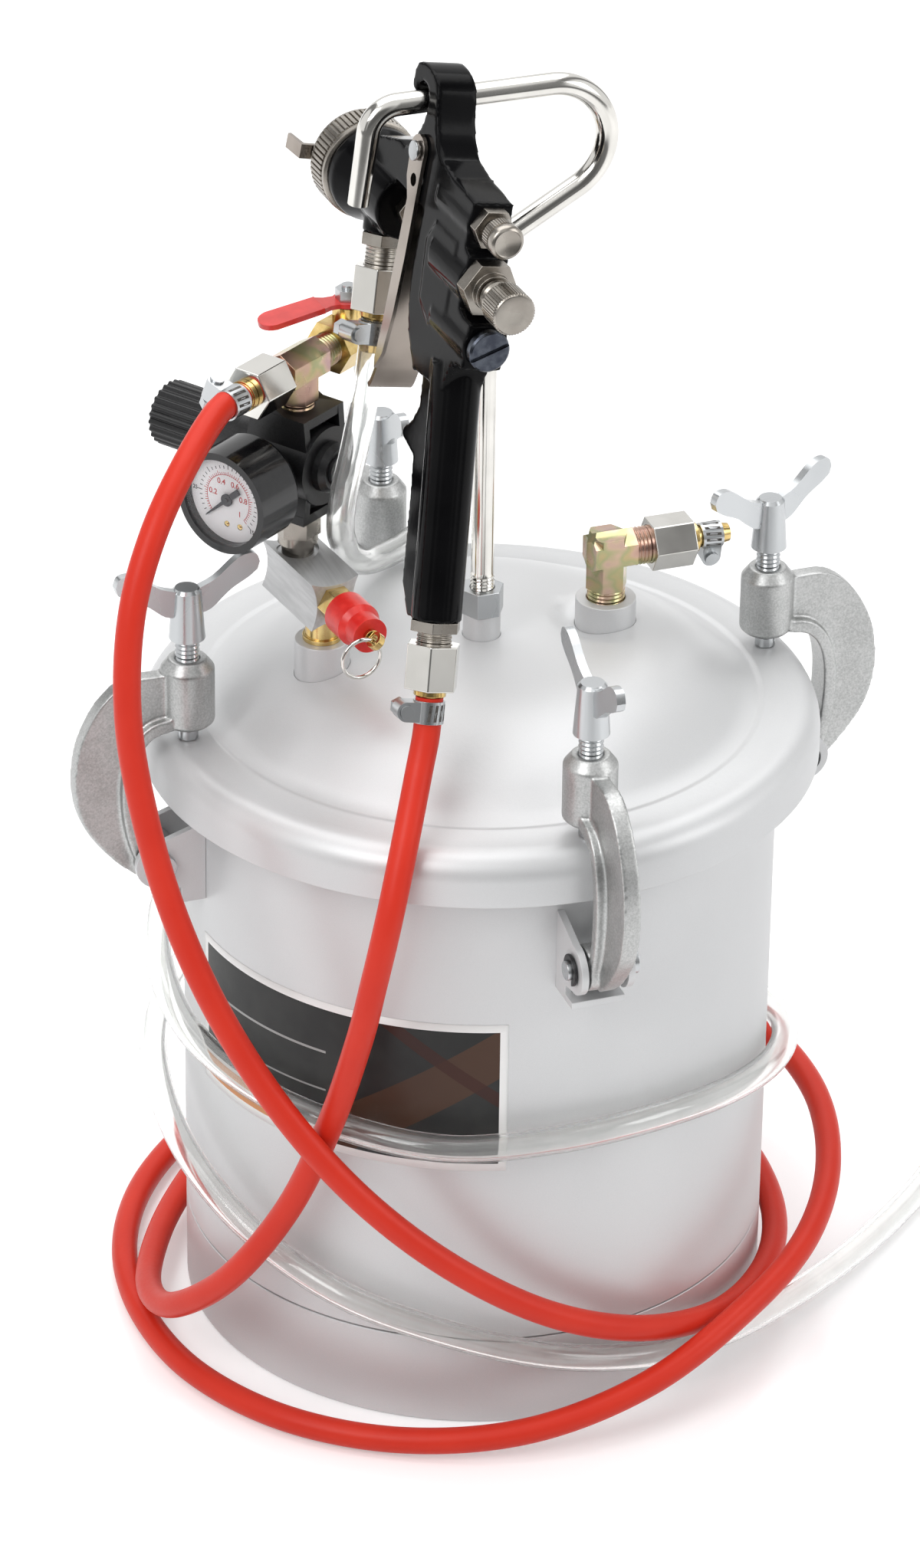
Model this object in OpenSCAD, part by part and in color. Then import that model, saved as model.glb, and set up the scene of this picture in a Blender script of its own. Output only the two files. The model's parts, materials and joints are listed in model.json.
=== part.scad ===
// Pressure feed pot with a hung spray gun: a clamped lid on a ten litre tank,
// an air regulator group and an outlet on the lid, two hoses round the tank.
// Millimetres, +Z up. Origin: centre of the tank's base plane.
// +X runs through the lid from the air port to the outlet port; clamps stand on +-X and +-Y.

/* [Tank] */
// Outer radius of the tank wall
tank_r = 122.5; // [100:0.5:150]
// Wall of the tank and skirt
wall = 2.5; // [1.5:0.1:4]
// Height of the base skirt
skirt_h = 41; // [25:1:60]
// Height of the tank's rolled rim
rim_z = 272; // [220:1:340]

/* [Lid] */
// How far the lid's edge stands out past the tank wall
lid_over = 17; // [16:0.5:18]
// Thickness of the pressed lid
lid_t = 3; // [2:0.1:4]
// Thickness of the seal under the lid
gasket_t = 4; // [3:0.5:6]
// Height of the dome over the lid's flat ring
crown = 26.5; // [18:0.5:36]
// Where the air port stands on X
air_x = -68.5; // [-74:0.5:-64]
// Where the outlet port stands on X
out_x = 54; // [48:0.5:60]

/* [Clamps] */
// Radius of the clamp screw
screw_r = 5; // [4:0.25:6]
// Radius of the pivot pins
pin_r = 4; // [3:0.25:5]
// Width of the forged arm
arm_w = 15; // [12:0.5:18]

/* [Handle] */
// Radius of the bent rod
rod_r = 4.65; // [3:0.05:5]
// Height of the rod's level bar over the lid's crown
handle_h = 238.5; // [236:0.5:260]

/* [Hoses] */
// Radius of the air hose
air_hose_r = 5.5; // [5:0.1:6]
// Radius of the clear fluid hose
fluid_hose_r = 5.75; // [4.5:0.05:6]

/* [Gun] */
// Half thickness of the cast body
gun_h = 8.5; // [7:0.1:9]
// Radius of the air cap's ring
ring_r = 21; // [18:0.5:24]
// Radius of the grip's tube
grip_r = 10; // [8:0.5:11]

/* [Gauge] */
// Radius of the gauge case
gauge_r = 21.5; // [18:0.5:23]

/* [Hidden] */
$fn = 64;
lid_r = tank_r + lid_over;             // outer radius of the lid
lid_z = rim_z + gasket_t + lid_t;      // top of the lid's flat ring
dome_r = tank_r - 9.5;                 // where the dome starts
port_top = lid_z + crown + 9.5;        // top of the air port
bar_z = lid_z + crown + handle_h;      // axis of the handle's level bar
blk_z = port_top + 21;                 // axis of the manifold block
reg_z = blk_z + 51;                    // middle of the regulator
gz = reg_z - 1.5;                      // axis of the gauge
tee_z = reg_z + 40;                    // run of the tee
el_z = port_top + 19.5;                // leg of the outlet elbow
reg_d = 22;                            // regulator's axis behind the air port
grp_yaw = 8;                           // turn of the manifold block
reg_yaw = 34;                          // turn of the regulator
screw_rho = tank_r + 3;                // clamp screw's axis
pin_rho = tank_r + 18.5;               // clamp pivot's axis
pin_z = rim_z - 44;
fit = 0.02;                            // fixed fits, radial
run = 0.05;                            // turning fits, radial
gun_at = [-20, 0, bar_z];
gun_yaw = 273;
gun_roll = -11;
needle_z = -49.5;                      // needle's axis in the gun's own frame
knob_z = -27.5;                        // pattern knob's axis
valve_z = -71;                         // air valve's axis
pivot = [10, 0, -18];                  // trigger's pivot

// points of an arc about (cx, cy)
function arc(cx, cy, r, a0, a1, n) =
  [for (i = [0:n]) [cx + r * cos(a0 + (a1 - a0) * i / n), cy + r * sin(a0 + (a1 - a0) * i / n)]];
// Catmull-Rom curve through pts, k points a span
function cr(p0, p1, p2, p3, t) =
  0.5 * (2 * p1 + (p2 - p0) * t + (2 * p0 - 5 * p1 + 4 * p2 - p3) * t * t
  + (3 * p1 - p0 - 3 * p2 + p3) * t * t * t);
function curve(pts, k) = let (n = len(pts))
  [for (i = [0:n - 2]) for (j = [0:k - 1])
    cr(pts[max(i - 1, 0)], pts[i], pts[i + 1], pts[min(i + 2, n - 1)], j / k), pts[n - 1]];
function rev(p) = [for (i = [len(p) - 1:-1:0]) p[i]];
// height of the dome's outer face over the lid's flat ring
function dome(r) = crown * pow(max(0, 1 - pow(r / dome_r, 5)), 1.5);

// side profile in XZ, extruded to both sides of Y
module slab(w) rotate([90, 0, 0]) linear_extrude(height = w, center = true) children();
// rod along +X from a to b
module along_x(a, b, r) translate([a, 0, 0]) rotate([0, 90, 0]) cylinder(r = r, h = b - a);
// cone along +X
module cone_x(a, b, r1, r2) translate([a, 0, 0]) rotate([0, 90, 0]) cylinder(r1 = r1, r2 = r2, h = b - a);
// hexagon along +X, r to its corners
module hex_x(a, b, r) translate([a, 0, 0]) rotate([0, 90, 0]) rotate([0, 0, 30])
  cylinder(r = r, h = b - a, $fn = 6);
// six-sided bar along +Z and along +X, r to its flats, which face +-Y
module bar(h, r) cylinder(r = r / cos(30), h = h, $fn = 6);
module bar_x(a, b, r) translate([a, 0, 0]) rotate([0, 90, 0]) bar(b - a, r);
// ridged rod along +Z, n ridges between z0 and z1
module ridged(z0, z1, r, d, n) {
  p = (z1 - z0) / n;
  rotate_extrude() polygon(concat([[0, z0]],
    [for (i = [0:n - 1]) each [[r - d, z0 + p * i], [r, z0 + p * (i + 0.5)]]],
    [[r - d, z1], [0, z1]]));
}
module clamps4() for (a = [0, 90, 180, 270]) rotate([0, 0, a]) children();

// tank
module tank_shell() color("silver") {
  o = tank_r;
  i = tank_r - wall;
  b = skirt_h + 0.6;
  s = tank_r - wall - 0.4;
  rotate_extrude($fn = 128) polygon([[0, skirt_h - 27], [60, skirt_h - 25],
    [tank_r - 27.5, skirt_h - 20], [tank_r - 11.5, skirt_h - 13], [s - 1.6, b - 5], [s, b - 2.6],
    [s, b], [o, b], [o, rim_z - 16], [o + 8.5, rim_z - 10], [o + 10, rim_z - 8],
    [o + 10, rim_z - 2], [o + 8, rim_z], [o - 1.5, rim_z], [i, rim_z - 1], [i, b + 1],
    [s - 3, b - 3.6], [tank_r - 12.5, skirt_h - 10.2], [tank_r - 27.5, skirt_h - 17.2],
    [60, skirt_h - 22.4], [0, skirt_h - 24.4]]);
}
module base_skirt() color("silver")
  rotate_extrude($fn = 128) polygon([[tank_r - wall - 0.3, 0.8], [tank_r - wall + 0.5, 0],
    [tank_r - 0.8, 0], [tank_r, 0.8], [tank_r, skirt_h], [tank_r - wall - 0.3, skirt_h]]);

// clamp brackets and pins, one set for each clamp
module clamp_bracket() difference() {
  union() {
    for (s = [-1, 1]) translate([0, s * (arm_w / 2 + 2.3), 0]) slab(3) {
      polygon([[tank_r - 4, pin_z - 15], [pin_rho, pin_z - 10.4], [pin_rho, pin_z + 10.4],
        [tank_r - 4, pin_z + 18]]);
      translate([pin_rho, pin_z]) circle(r = 10.5);
    }
    translate([tank_r - 4, -arm_w / 2 - 3.8, pin_z - 19]) cube([22, arm_w + 7.6, 3]);
    for (s = [-1, 1]) translate([tank_r - 4, s * (arm_w / 2 + 2.3) - 1.5, pin_z - 17]) cube([14, 3, 5]);
  }
  cylinder(r = tank_r + fit, h = rim_z, $fn = 128);
  translate([pin_rho, 0, pin_z]) rotate([90, 0, 0]) cylinder(r = pin_r + fit, h = 60, center = true);
}
module clamp_brackets() color("silver") clamps4() clamp_bracket();
clip_y = -arm_w / 2 - 4.9;
module clamp_pin() {
  rotate([90, 0, 0]) {
    translate([0, 0, -arm_w / 2 - 4.2]) cylinder(r = pin_r, h = arm_w + 11.5);
    translate([0, 0, -arm_w / 2 - 7.4]) cylinder(r = pin_r + 1.8, h = 3.3);
  }
  translate([0, clip_y, 0]) rotate([90, 0, 0]) difference() {
    cylinder(r = pin_r + 2.6, h = 1.2, center = true);
    cylinder(r = pin_r + fit, h = 3, center = true);
    translate([-2, -12, -2]) cube([4, 12, 4]);
  }
}
module clamp_pins() color("silver") clamps4() translate([pin_rho, 0, pin_z]) clamp_pin();

// lid
lid_out = concat([[lid_r, rim_z - 15]], arc(lid_r - 11, lid_z - 11, 11, 0, 90, 8),
  [[dome_r + 5, lid_z], [dome_r + 4, lid_z + 0.5], [dome_r + 2.5, lid_z + 0.5], [dome_r + 1.5, lid_z]],
  [for (i = [0:16]) let (r = dome_r * (1 - i / 16)) [r, lid_z + dome(r)]]);
lid_in = concat([[lid_r - lid_t, rim_z - 15]], arc(lid_r - 11, lid_z - 11, 11 - lid_t, 0, 90, 8),
  [for (i = [0:16]) let (r = dome_r * (1 - i / 16)) [r, lid_z - lid_t + dome(r)]]);
module lid() color("silver") difference() {
  rotate_extrude($fn = 128) polygon(concat(lid_out, rev(lid_in)));
  for (p = [[air_x, 11.25], [0, 7.7], [out_x, 12.5]])
    translate([p[0], 0, lid_z]) cylinder(r = p[1] + fit, h = crown + 30);
}
module lid_gasket() color("black") rotate_extrude($fn = 128)
  polygon([[tank_r - 1.5, rim_z], [tank_r + 5.5, rim_z], [tank_r + 5.5, rim_z + gasket_t],
    [tank_r - 1.5, rim_z + gasket_t]]);
module port(x, r, top, bore, low) translate([x, 0, 0]) difference() {
  translate([0, 0, lid_z + 17]) cylinder(r = r, h = top - lid_z - 17);
  translate([0, 0, top - 10.5]) cylinder(r = bore, h = 20);
  translate([0, 0, lid_z]) cylinder(r = low, h = 60);
}
module lid_ports() color("silver") {
  port(air_x, 11.25, port_top, 6.55, 5);
  port(0, 7.7, port_top + 1, rod_r + 0.4, rod_r + 0.4);
  port(out_x, 12.5, port_top - 1.5, out_t + run, 6.55);
}

// handle: one bent rod, threaded at its foot
rod_fine = 15;
rod_crest = rod_r + 0.35;
function rod_bend(x, z, r, a0, a1) =
  [for (q = arc(x, z, r, a0, a1, ceil(abs(a1 - a0) / rod_fine))) [q[0], 0, q[1]]];
thread_lo = lid_z + 16;
thread_pitch = 1.5;
thread_n = floor((port_top + 18 - thread_lo) / thread_pitch);
rod_thread = [for (i = [0:2 * thread_n]) [0, 0, thread_lo + i * thread_pitch / 2]];
rod_path = concat(rod_thread, [[0, 0, port_top + 21]], rod_bend(20, bar_z - 78, 20, 180, 120),
  rod_bend(25.5, bar_z - 24, 24, -60, 90), rod_bend(-38, bar_z - 12, 12, 90, 172),
  [[-54.1, 0, bar_z - 40.5]]);
rod_radii = concat([for (i = [0:2 * thread_n]) i % 2 == 0 ? rod_crest - 0.6 : rod_crest],
  [for (i = [2 * thread_n + 1:len(rod_path) - 1]) rod_r]);
module handle_rod() color("lightgray") tube(rod_path, rod_radii, 20);
module handle_nut() color("lightgray") translate([0, 0, port_top + 1]) difference() {
  cylinder(r = 9.3, h = 11, $fn = 6);
  translate([0, 0, -1]) cylinder(r = rod_r + 0.4, h = 20);
}

// outlet side
module pickup_tube() color("lightgray") translate([out_x, 0, 0]) difference() {
  translate([0, 0, skirt_h - 9]) cylinder(r = 6.5, h = port_top - 3.5 - skirt_h);
  cylinder(r = 5, h = port_top);
}
bar_r = 7.7;                           // half the width of the elbow's and tee's bars
out_t = 7.9;                           // radius of the outlet's threads
module outlet_elbow() color("goldenrod") difference() {
  union() {
    translate([out_x, 0, 0]) {
      ridged(port_top - 11.9, port_top + 3.5, out_t, 0.5, 9);
      translate([0, 0, port_top + 3.4]) bar(el_z - port_top - 3.4 + bar_r, bar_r);
    }
    translate([out_x, 0, el_z]) {
      bar_x(-bar_r, 11, bar_r);
      rotate([0, 90, 0]) ridged(10.9, 24, out_t, 0.5, 8);
    }
  }
  translate([out_x, 0, port_top - 20]) cylinder(r = 4.2, h = el_z - port_top + 20);
  translate([out_x, 0, el_z]) along_x(0, 40, 4.2);
  translate([out_x, 0, el_z]) rotate([0, -135, 0]) translate([bar_r * 1.25, -20, -20])
    cube(40);
}

// union nut and barb, along +X: nut from 0 to nut_l, barb's end at barb_l
nut_l = 18;
barb_l = 35;
clamp_x = 27;
module union_nut(t = 7) difference() {
  hex_x(0, nut_l, 11.4);
  along_x(-1, 12, t + run);
  along_x(-1, nut_l + 1, 5.6 + run);
}
barb_r = 4.6;
barb_0 = nut_l + 2.9;                  // where the hose's end stands
barb_p = (barb_l - barb_0) / 3;        // length of one of its three ridges
module barb() difference() {
  union() {
    along_x(6.1, 11.9, 7);
    along_x(11.8, barb_0 + 0.1, 5.6);
    along_x(nut_l + 0.2, barb_0 - 0.3, 6.4);
    for (i = [0:2]) cone_x(barb_0 + i * barb_p, barb_0 + (i + 1) * barb_p, barb_r, barb_r - 0.8);
  }
  along_x(0, barb_l + 1, 2.6);
}
// worm-drive hose clamp on a hose of radius r, along X about 0
band_t = 0.8;
worm_r = 2.8;
shell_t = 1.2;
module worm_axis(r) translate([0, 0, r + band_t + worm_r + 0.6]) rotate([90, 0, 0]) children();
module hose_clamp(r) {
  difference() {
    union() {
      along_x(-4.5, 4.5, r + band_t);
      worm_axis(r) cylinder(r = worm_r + shell_t, h = 9, center = true);
      translate([-worm_r - shell_t, -4.5, 0])
        cube([2 * (worm_r + shell_t), 9, r + band_t + worm_r + 0.6]);
    }
    along_x(-9, 9, r + fit);
    worm_axis(r) cylinder(r = worm_r + run, h = 30, center = true);
  }
  worm_axis(r) cylinder(r = worm_r, h = 11, center = true);
  worm_axis(r) translate([0, 0, 5.4]) cylinder(r = worm_r + 1, h = 3.6, $fn = 6);
}

// frames
module air_frame() translate([air_x, 0, 0]) rotate([0, 0, grp_yaw]) children();
module reg_frame() air_frame() translate([0, reg_d, 0]) rotate([0, 0, reg_yaw - grp_yaw]) children();
module gun_frame() translate(gun_at) rotate([0, 0, gun_yaw]) rotate([gun_roll, 0, 0]) children();
// gun's air inlet: +X runs down out of the grip
grip_lo = [84, -184];
grip_hi = [58, -86];
module gun_air() translate([grip_lo[0], 0, grip_lo[1]]) rotate([0, 75, 0]) children();
// gun's fluid inlet: +X runs down out of the head
module gun_fluid() translate([-27.6, 0, -58]) rotate([0, 79, 0]) children();
// places of the four union nuts, in hose order
module at_tee_end() reg_frame() translate([-15, 0, tee_z]) rotate([0, 0, 180]) children();
module at_gun_air() gun_frame() gun_air() translate([9.5, 0, 0]) children();
module at_outlet() translate([out_x + 18, 0, el_z]) children();
module at_gun_fluid() gun_frame() gun_fluid() translate([22.5, 0, 0]) children();

module hose_union_nuts() color("silver") {
  at_tee_end() union_nut();
  at_gun_air() union_nut();
  at_outlet() union_nut(out_t);
  at_gun_fluid() union_nut();
}
module hose_barbs() color("gold") {
  at_tee_end() barb();
  at_gun_air() barb();
  at_outlet() barb();
  at_gun_fluid() barb();
}
module hose_clamps() color("lightgray") {
  at_tee_end() translate([clamp_x, 0, 0]) rotate([70, 0, 0]) hose_clamp(air_hose_r);
  at_gun_air() translate([clamp_x, 0, 0]) rotate([100, 0, 0]) hose_clamp(air_hose_r);
  at_outlet() translate([clamp_x, 0, 0]) rotate([190, 0, 0]) hose_clamp(barb_r);
  at_gun_fluid() translate([clamp_x, 0, 0]) rotate([80, 0, 0]) hose_clamp(fluid_hose_r);
}

// air group on the air port
module port_nipple() color("goldenrod") translate([air_x, 0, 0]) difference() {
  union() {
    ridged(port_top - 10.3, port_top + 0.1, 6.4, 0.5, 6);
    translate([0, 0, port_top + fit]) cylinder(r = 8, h = 2);
    translate([0, 0, port_top + 1.9]) cylinder(r = 6.9, h = blk_z - 8 - port_top - 1.9);
    translate([0, 0, blk_z - 8.1]) cylinder(r = 6.4, h = 9);
  }
  cylinder(r = 4, h = 400);
}
sag = 2.5;
function bow(a, b, s, n) = let (d = b - a, m = [-d[1], d[0]] / norm(d))
  [for (i = [0:n - 1]) a + d * i / n + m * s * 4 * (i / n) * (1 - i / n)];
module block_section() let (h = 10.5)
  polygon(concat(bow([-h, -h], [h, -h], sag, 8), bow([h, -h], [h, h], sag, 8),
    bow([h, h], [-h, h], sag, 8), bow([-h, h], [-h, -h], sag, 8)));
module manifold_block() color("gainsboro") air_frame() translate([0, 0, blk_z]) difference() {
  translate([0, 11, 0]) slab(45) block_section();
  translate([0, 0, -20]) cylinder(r = 6.45, h = 22);
  translate([0, reg_d, 0]) cylinder(r = 5.55, h = 22);
  rotate([90, 0, 0]) cylinder(r = 5.55, h = 20);
  translate([0, reg_d, 0]) rotate([90, 0, 0]) cylinder(r = 3, h = reg_d + 5);
  translate([0, reg_d, 8]) cylinder(r = 8.6, h = 9);
  translate([0, 0, -17]) cylinder(r = 7.4, h = 9);
}
// safety valve, along +X out of the block's end
module safety() air_frame() translate([0, -11.5, blk_z]) rotate([0, 0, -90]) children();
module safety_valve_body() color("gold") safety() difference() {
  union() {
    rotate([0, 90, 0]) ridged(-4.9, 0.1, 5.5, 0.5, 4);
    hex_x(0, 9, 8);
    along_x(8.9, 19, 6.2);
  }
  along_x(-10, 30, 2.6);
}
module safety_valve_cap() color("red") safety() difference() {
  union() {
    along_x(9.1, 21, 9.2);
    cone_x(20.9, 23.5, 9.2, 7.4);
    along_x(23.4, 31, 7.4);
  }
  along_x(9, 19.05, 6.25);
  along_x(9, 40, 2.3);
}
eye_x = 36;
module safety_valve_stem() color("gold") safety() rotate([eye_roll, 0, 0]) difference() {
  union() {
    along_x(-4.5, 33, 1.9);
    along_x(31.05, 33, 3.2);
    translate([eye_x, 0, 0]) rotate([90, 0, 0]) cylinder(r = 3.6, h = 3, center = true);
  }
  translate([eye_x, 0, 0]) rotate([90, 0, 0]) cylinder(r = eye_r, h = 9, center = true);
}
// ring through the stem's eye, hanging to one side
wire_r = 0.85;
loop_r = 8.3;
eye_r = 1.9;
eye_roll = -45;
module pull_ring() color("silver") safety() rotate([eye_roll, 0, 0])
  translate([eye_x, 0, wire_r + 0.3 - eye_r - loop_r]) rotate([0, 90, 0])
  rotate_extrude($fn = 48) translate([loop_r, 0]) circle(r = wire_r, $fn = 16);

// regulator, knob to +Y, gauge to -X, ports up and down
module regulator_swivel() color("silver") reg_frame() difference() {
  union() {
    translate([0, 0, blk_z + 1]) cylinder(r = 5.5, h = 10);
    translate([0, 0, blk_z + 8.05]) cylinder(r = 6.6, h = 5);
    translate([0, 0, blk_z + 13]) cylinder(r = 8.2, h = 4);
    translate([0, 0, blk_z + 16.9]) cylinder(r = 9.4, h = 8, $fn = 6);
    translate([0, 0, blk_z + 24.8]) cylinder(r = 6.6, h = 3.15);
    translate([0, 0, blk_z + 27.9]) cylinder(r = 6, h = 8);
  }
  translate([0, 0, blk_z]) cylinder(r = 3, h = 60);
}
reg_lo = blk_z + 28;
reg_hi = 2 * reg_z - reg_lo;
module regulator_body() color("dimgray") reg_frame() difference() {
  union() {
    translate([0, 0, reg_lo]) cylinder(r = 10.5, h = reg_hi - reg_lo);
    translate([-13, -13, reg_lo]) cube([26, 26, 4]);
    translate([-13, -13, reg_hi - 4]) cube([26, 26, 4]);
    translate([0, 0, reg_z]) rotate([-90, 0, 0]) translate([0, 0, -15]) cylinder(r = 16.5, h = 34);
    translate([0, 0, reg_z]) along_x(-17, 13, 8.5);
    for (s = [-1, 1]) translate([s * 11.2, 0, 0]) rotate([0, 0, 90]) slab(3.4)
      polygon([[-13, reg_hi], [-14.9, reg_z], [-13, reg_lo], [13, reg_lo], [18, reg_z], [13, reg_hi]]);
    for (s = [-1, 1]) translate([s * 11.2, 15, 0]) rotate([0, 0, 90]) slab(3.4)
      polygon([[-4, reg_hi + 7], [-20, reg_hi - 1], [-4, reg_hi - 1]]);
  }
  translate([0, 0, reg_hi - 12]) cylinder(r = 7.1, h = 22);
  translate([0, 0, reg_lo - 1]) cylinder(r = 6.05, h = 12);
  translate([0, 0, reg_lo]) cylinder(r = 3, h = 60);
  translate([0, 0, gz]) along_x(-30, -4, 4.5 + run);
  translate([0, 0, reg_z]) rotate([90, 0, 0]) cylinder(r = 9.05, h = 20);
  translate([0, 11, reg_z]) rotate([-90, 0, 0]) cylinder(r = 12.05, h = 20);
}
module regulator_plug() color("black") reg_frame() translate([0, 0, reg_z]) rotate([90, 0, 0]) {
  translate([0, 0, 5.5]) cylinder(r = 9, h = 10);
  translate([0, 0, 15.05]) cylinder(r = 10.5, h = 3);
  translate([0, 0, 18]) cylinder(r1 = 10.5, r2 = 8.6, h = 2.4);
  translate([0, 0, 20.3]) cylinder(r = 6.5, h = 1.4);
}
module knob_side() reg_frame() translate([0, 0, reg_z]) rotate([-90, 0, 0]) children();
module regulator_bonnet() color("black") knob_side() difference() {
  union() {
    translate([0, 0, 12]) cylinder(r = 12, h = 8);
    translate([0, 0, 19.05]) cylinder(r = 15.5, h = 4);
    translate([0, 0, 23]) cylinder(r1 = 14, r2 = 11.5, h = 16);
    translate([0, 0, 38.9]) cylinder(r = 10, h = 14);
  }
  translate([0, 0, 20]) cylinder(r = 8, h = 60);
}
module regulator_knob() color("black") knob_side() difference() {
  translate([0, 0, 41]) linear_extrude(height = 25)
    polygon([for (i = [0:95]) let (k = i % 4, a = i * 3.75) (k < 2 ? 13.6 : 12.7) * [cos(a), sin(a)]]);
  translate([0, 0, 40]) cylinder(r = 10 + run, h = 13);
}

// gauge, face to -X
module gframe() reg_frame() translate([0, 0, gz]) rotate([0, 0, 180]) children();
module gauge_case() color("black") gframe() difference() {
  union() {
    along_x(5, 27, 4.5);
    along_x(17.1, 19, 6.5);
    cone_x(25, 28, gauge_r - 2, gauge_r);
    along_x(27.9, 50, gauge_r);
  }
  along_x(44.5, 60, gauge_r - 3);
  along_x(27.5, 44.6, gauge_r - 4.2);
  along_x(0, 28, 1.5);
}
module gauge_dial() color("white") gframe() difference() {
  along_x(44.55, 45.1, gauge_r - 3.05);
  along_x(40, 50, 1.05);
}
needle_rest = 222;
module gauge_pointer() color("black") gframe() {
  along_x(43, 47, 0.95);
  translate([45.7, 0, 0]) rotate([0, 90, 0]) cylinder(r = 2.6, h = 0.9);
  translate([46, 0, 0]) rotate([needle_rest - 90, 0, 0]) translate([-0.2, 0, 0]) rotate([90, 0, 90])
    linear_extrude(height = 0.6) polygon([[-1.3, -8], [1.3, -8], [1.3, -3], [0.9, 0], [0.3, 13.6],
      [-0.3, 13.6], [-0.9, 0], [-1.3, -3]]);
}
module gauge_lens() color("lightblue", 0.4) gframe() along_x(47.4, 48.6, gauge_r - 3.05);

// tee on top of the regulator, run along X
module air_tee() color("goldenrod") reg_frame() difference() {
  union() {
    translate([0, 0, reg_hi - 11.9]) ridged(0, 14.4, 7, 0.5, 8);
    translate([0, 0, reg_hi + 2.4]) bar(tee_z - reg_hi - 2.4, bar_r - 0.4);
    translate([0, 0, tee_z]) {
      bar_x(-11.5, 11.5, bar_r);
      rotate([0, 90, 0]) ridged(11.4, 25.9, 7, 0.5, 9);
      rotate([0, -90, 0]) ridged(11.4, 20.9, 7, 0.5, 6);
    }
  }
  translate([0, 0, reg_hi - 20]) cylinder(r = 4, h = tee_z - reg_hi + 20);
  translate([0, 0, tee_z]) along_x(-40, 40, 4);
}
// ball valve: its stem's place along the run
vs = 33;
inlet_r = 6.58;
module valve_frame() reg_frame() translate([vs, 0, tee_z]) children();
module ball_valve_body() color("gold") valve_frame() difference() {
  union() {
    hex_x(-13, 9, 11.4);
    along_x(8.9, 13, 8);
    along_x(12.9, 24, inlet_r);
    cylinder(r = 6.4, h = 15);
  }
  sphere(r = 6.65);
  along_x(-30, 30, 4);
  along_x(-14, -3.5, 7.05);
  cylinder(r = 2.62, h = 30);
}
lever_a = 150;
module valve_stem() color("silver") valve_frame() {
  difference() {
    union() {
      sphere(r = 6.6);
      cylinder(r = 2.55, h = 23.5);
    }
    rotate([0, 0, lever_a]) along_x(-10, 10, 3.4);
  }
  difference() {
    translate([0, 0, 17.35]) cylinder(r = 5.2, h = 4.6, $fn = 6);
    cylinder(r = 2.55 + fit, h = 40);
  }
}
droop = 9;                             // slope of the lever's grip
module valve_lever() color("red") valve_frame() rotate([0, 0, lever_a]) difference() {
  translate([0, 0, 15.3]) union() {
    cylinder(r = 6.5, h = 2);
    linear_extrude(height = 2) polygon([[0, -4.2], [9, -4.4], [12.5, -6], [12.5, 6], [9, 4.4], [0, 4.2]]);
    translate([12, 0, 0]) rotate([0, droop, 0]) linear_extrude(height = 2.4)
      polygon(concat([[0, -6]], arc(20, 0, 6.6, -80, 80, 10), [[0, 6]]));
  }
  cylinder(r = 2.6, h = 40);
}

// gun, in its own frame: +X to the rear, +Z up, the handle's bar through its hook at 0
hook = curve([[-10, 1], [-10.5, 7], [-8.5, 11.5], [-3, 13.3], [5, 12.8], [11, 10], [14, 5.5], [16.5, -2],
  [21, -9.5], [27, -14.5]], 4);
module gun_plate() polygon(concat(hook, [[40, -17], [62, -18.5], [62, -37], [67, -38.5], [67, -60],
  [72, -61.5], [79, -61.5], [79, -80.5], [70, -82], [66, -95], [46, -97]],
  curve([[38, -98], [27, -85], [22, -71], [20, -58], [20, -38]], 4), [[-9, -38], [-11.5, -30]],
  curve([[-9, -25], [-3, -20], [2, -14], [5.2, -8], [6.4, -2]], 4), arc(0, 0, 6.4, 0, 180, 16)));
module gun_body() color("black") gun_frame() difference() {
  union() {
    slab(2 * gun_h) gun_plate();
    slab(2 * gun_h) polygon([[-42, -35], [-30, -27.5], [-12, -22], [-4, -23], [-9, -40], [-9.5, -62],
      [-40, -62]]);
    translate([0, 0, needle_z]) {
      along_x(-47.5, -42, 19.5);
      cone_x(-42.05, -29, 19.5, 14);
      along_x(-29.1, -9, 14);
      along_x(35, 67, 10.8);
    }
    translate([0, 0, knob_z]) along_x(30, 62, 9.3);
    translate([0, 0, valve_z]) along_x(45, 79, 9.6);
    gun_fluid() along_x(1, 9, 9);
    translate([grip_hi[0], 0, grip_hi[1]]) rotate([0, 165, 0]) cylinder(r = grip_r, h = 101.4);
    slab(8) polygon([[38, -97], [41, -112], [37, -120], [30.5, -126], [31, -129], [44, -132], [48.5, -147],
      [56.5, -180], [66, -191], [72.6, -188.6], [73.6, -186.7],
      [78, -185.5], [62, -96]]);
    for (s = [-1, 1]) translate([0, s * gun_h, 0]) slab(1) polygon([[29, -47], [34, -38], [55, -38],
      [57, -66], [44, -76], [33, -70]]);
  }
  translate(pivot) rotate([90, 0, 0]) cylinder(r = 2.5 + fit, h = 60, center = true);
  translate([0, 0, needle_z]) {
    along_x(-60, -36, 6 + run);
    along_x(-60, 0, 1.45);
    along_x(-14, -8, 4 + run);
    along_x(15, 59, 5);
    along_x(54, 70, 7 + run);
  }
  translate([0, 0, knob_z]) along_x(48, 70, 5 + run);
  translate([0, 0, valve_z]) {
    along_x(15, 70, 2.2 + run);
    along_x(60, 90, 6 + run);
  }
  gun_fluid() along_x(0, 12, 6 + run);
  gun_air() along_x(-9, 4, 6 + run);
}
module trigger_pin() color("silver") gun_frame() translate(pivot) rotate([90, 0, 0]) {
  cylinder(r = 2.5, h = 2 * gun_h + 6, center = true);
  translate([0, 0, gun_h + 2.9]) cylinder(r = 4, h = 1.4);
  translate([0, 0, -gun_h - 4.3]) cylinder(r = 4, h = 1.4);
}
trig_in = gun_h + 0.7;
web_top = -39.6;
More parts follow.
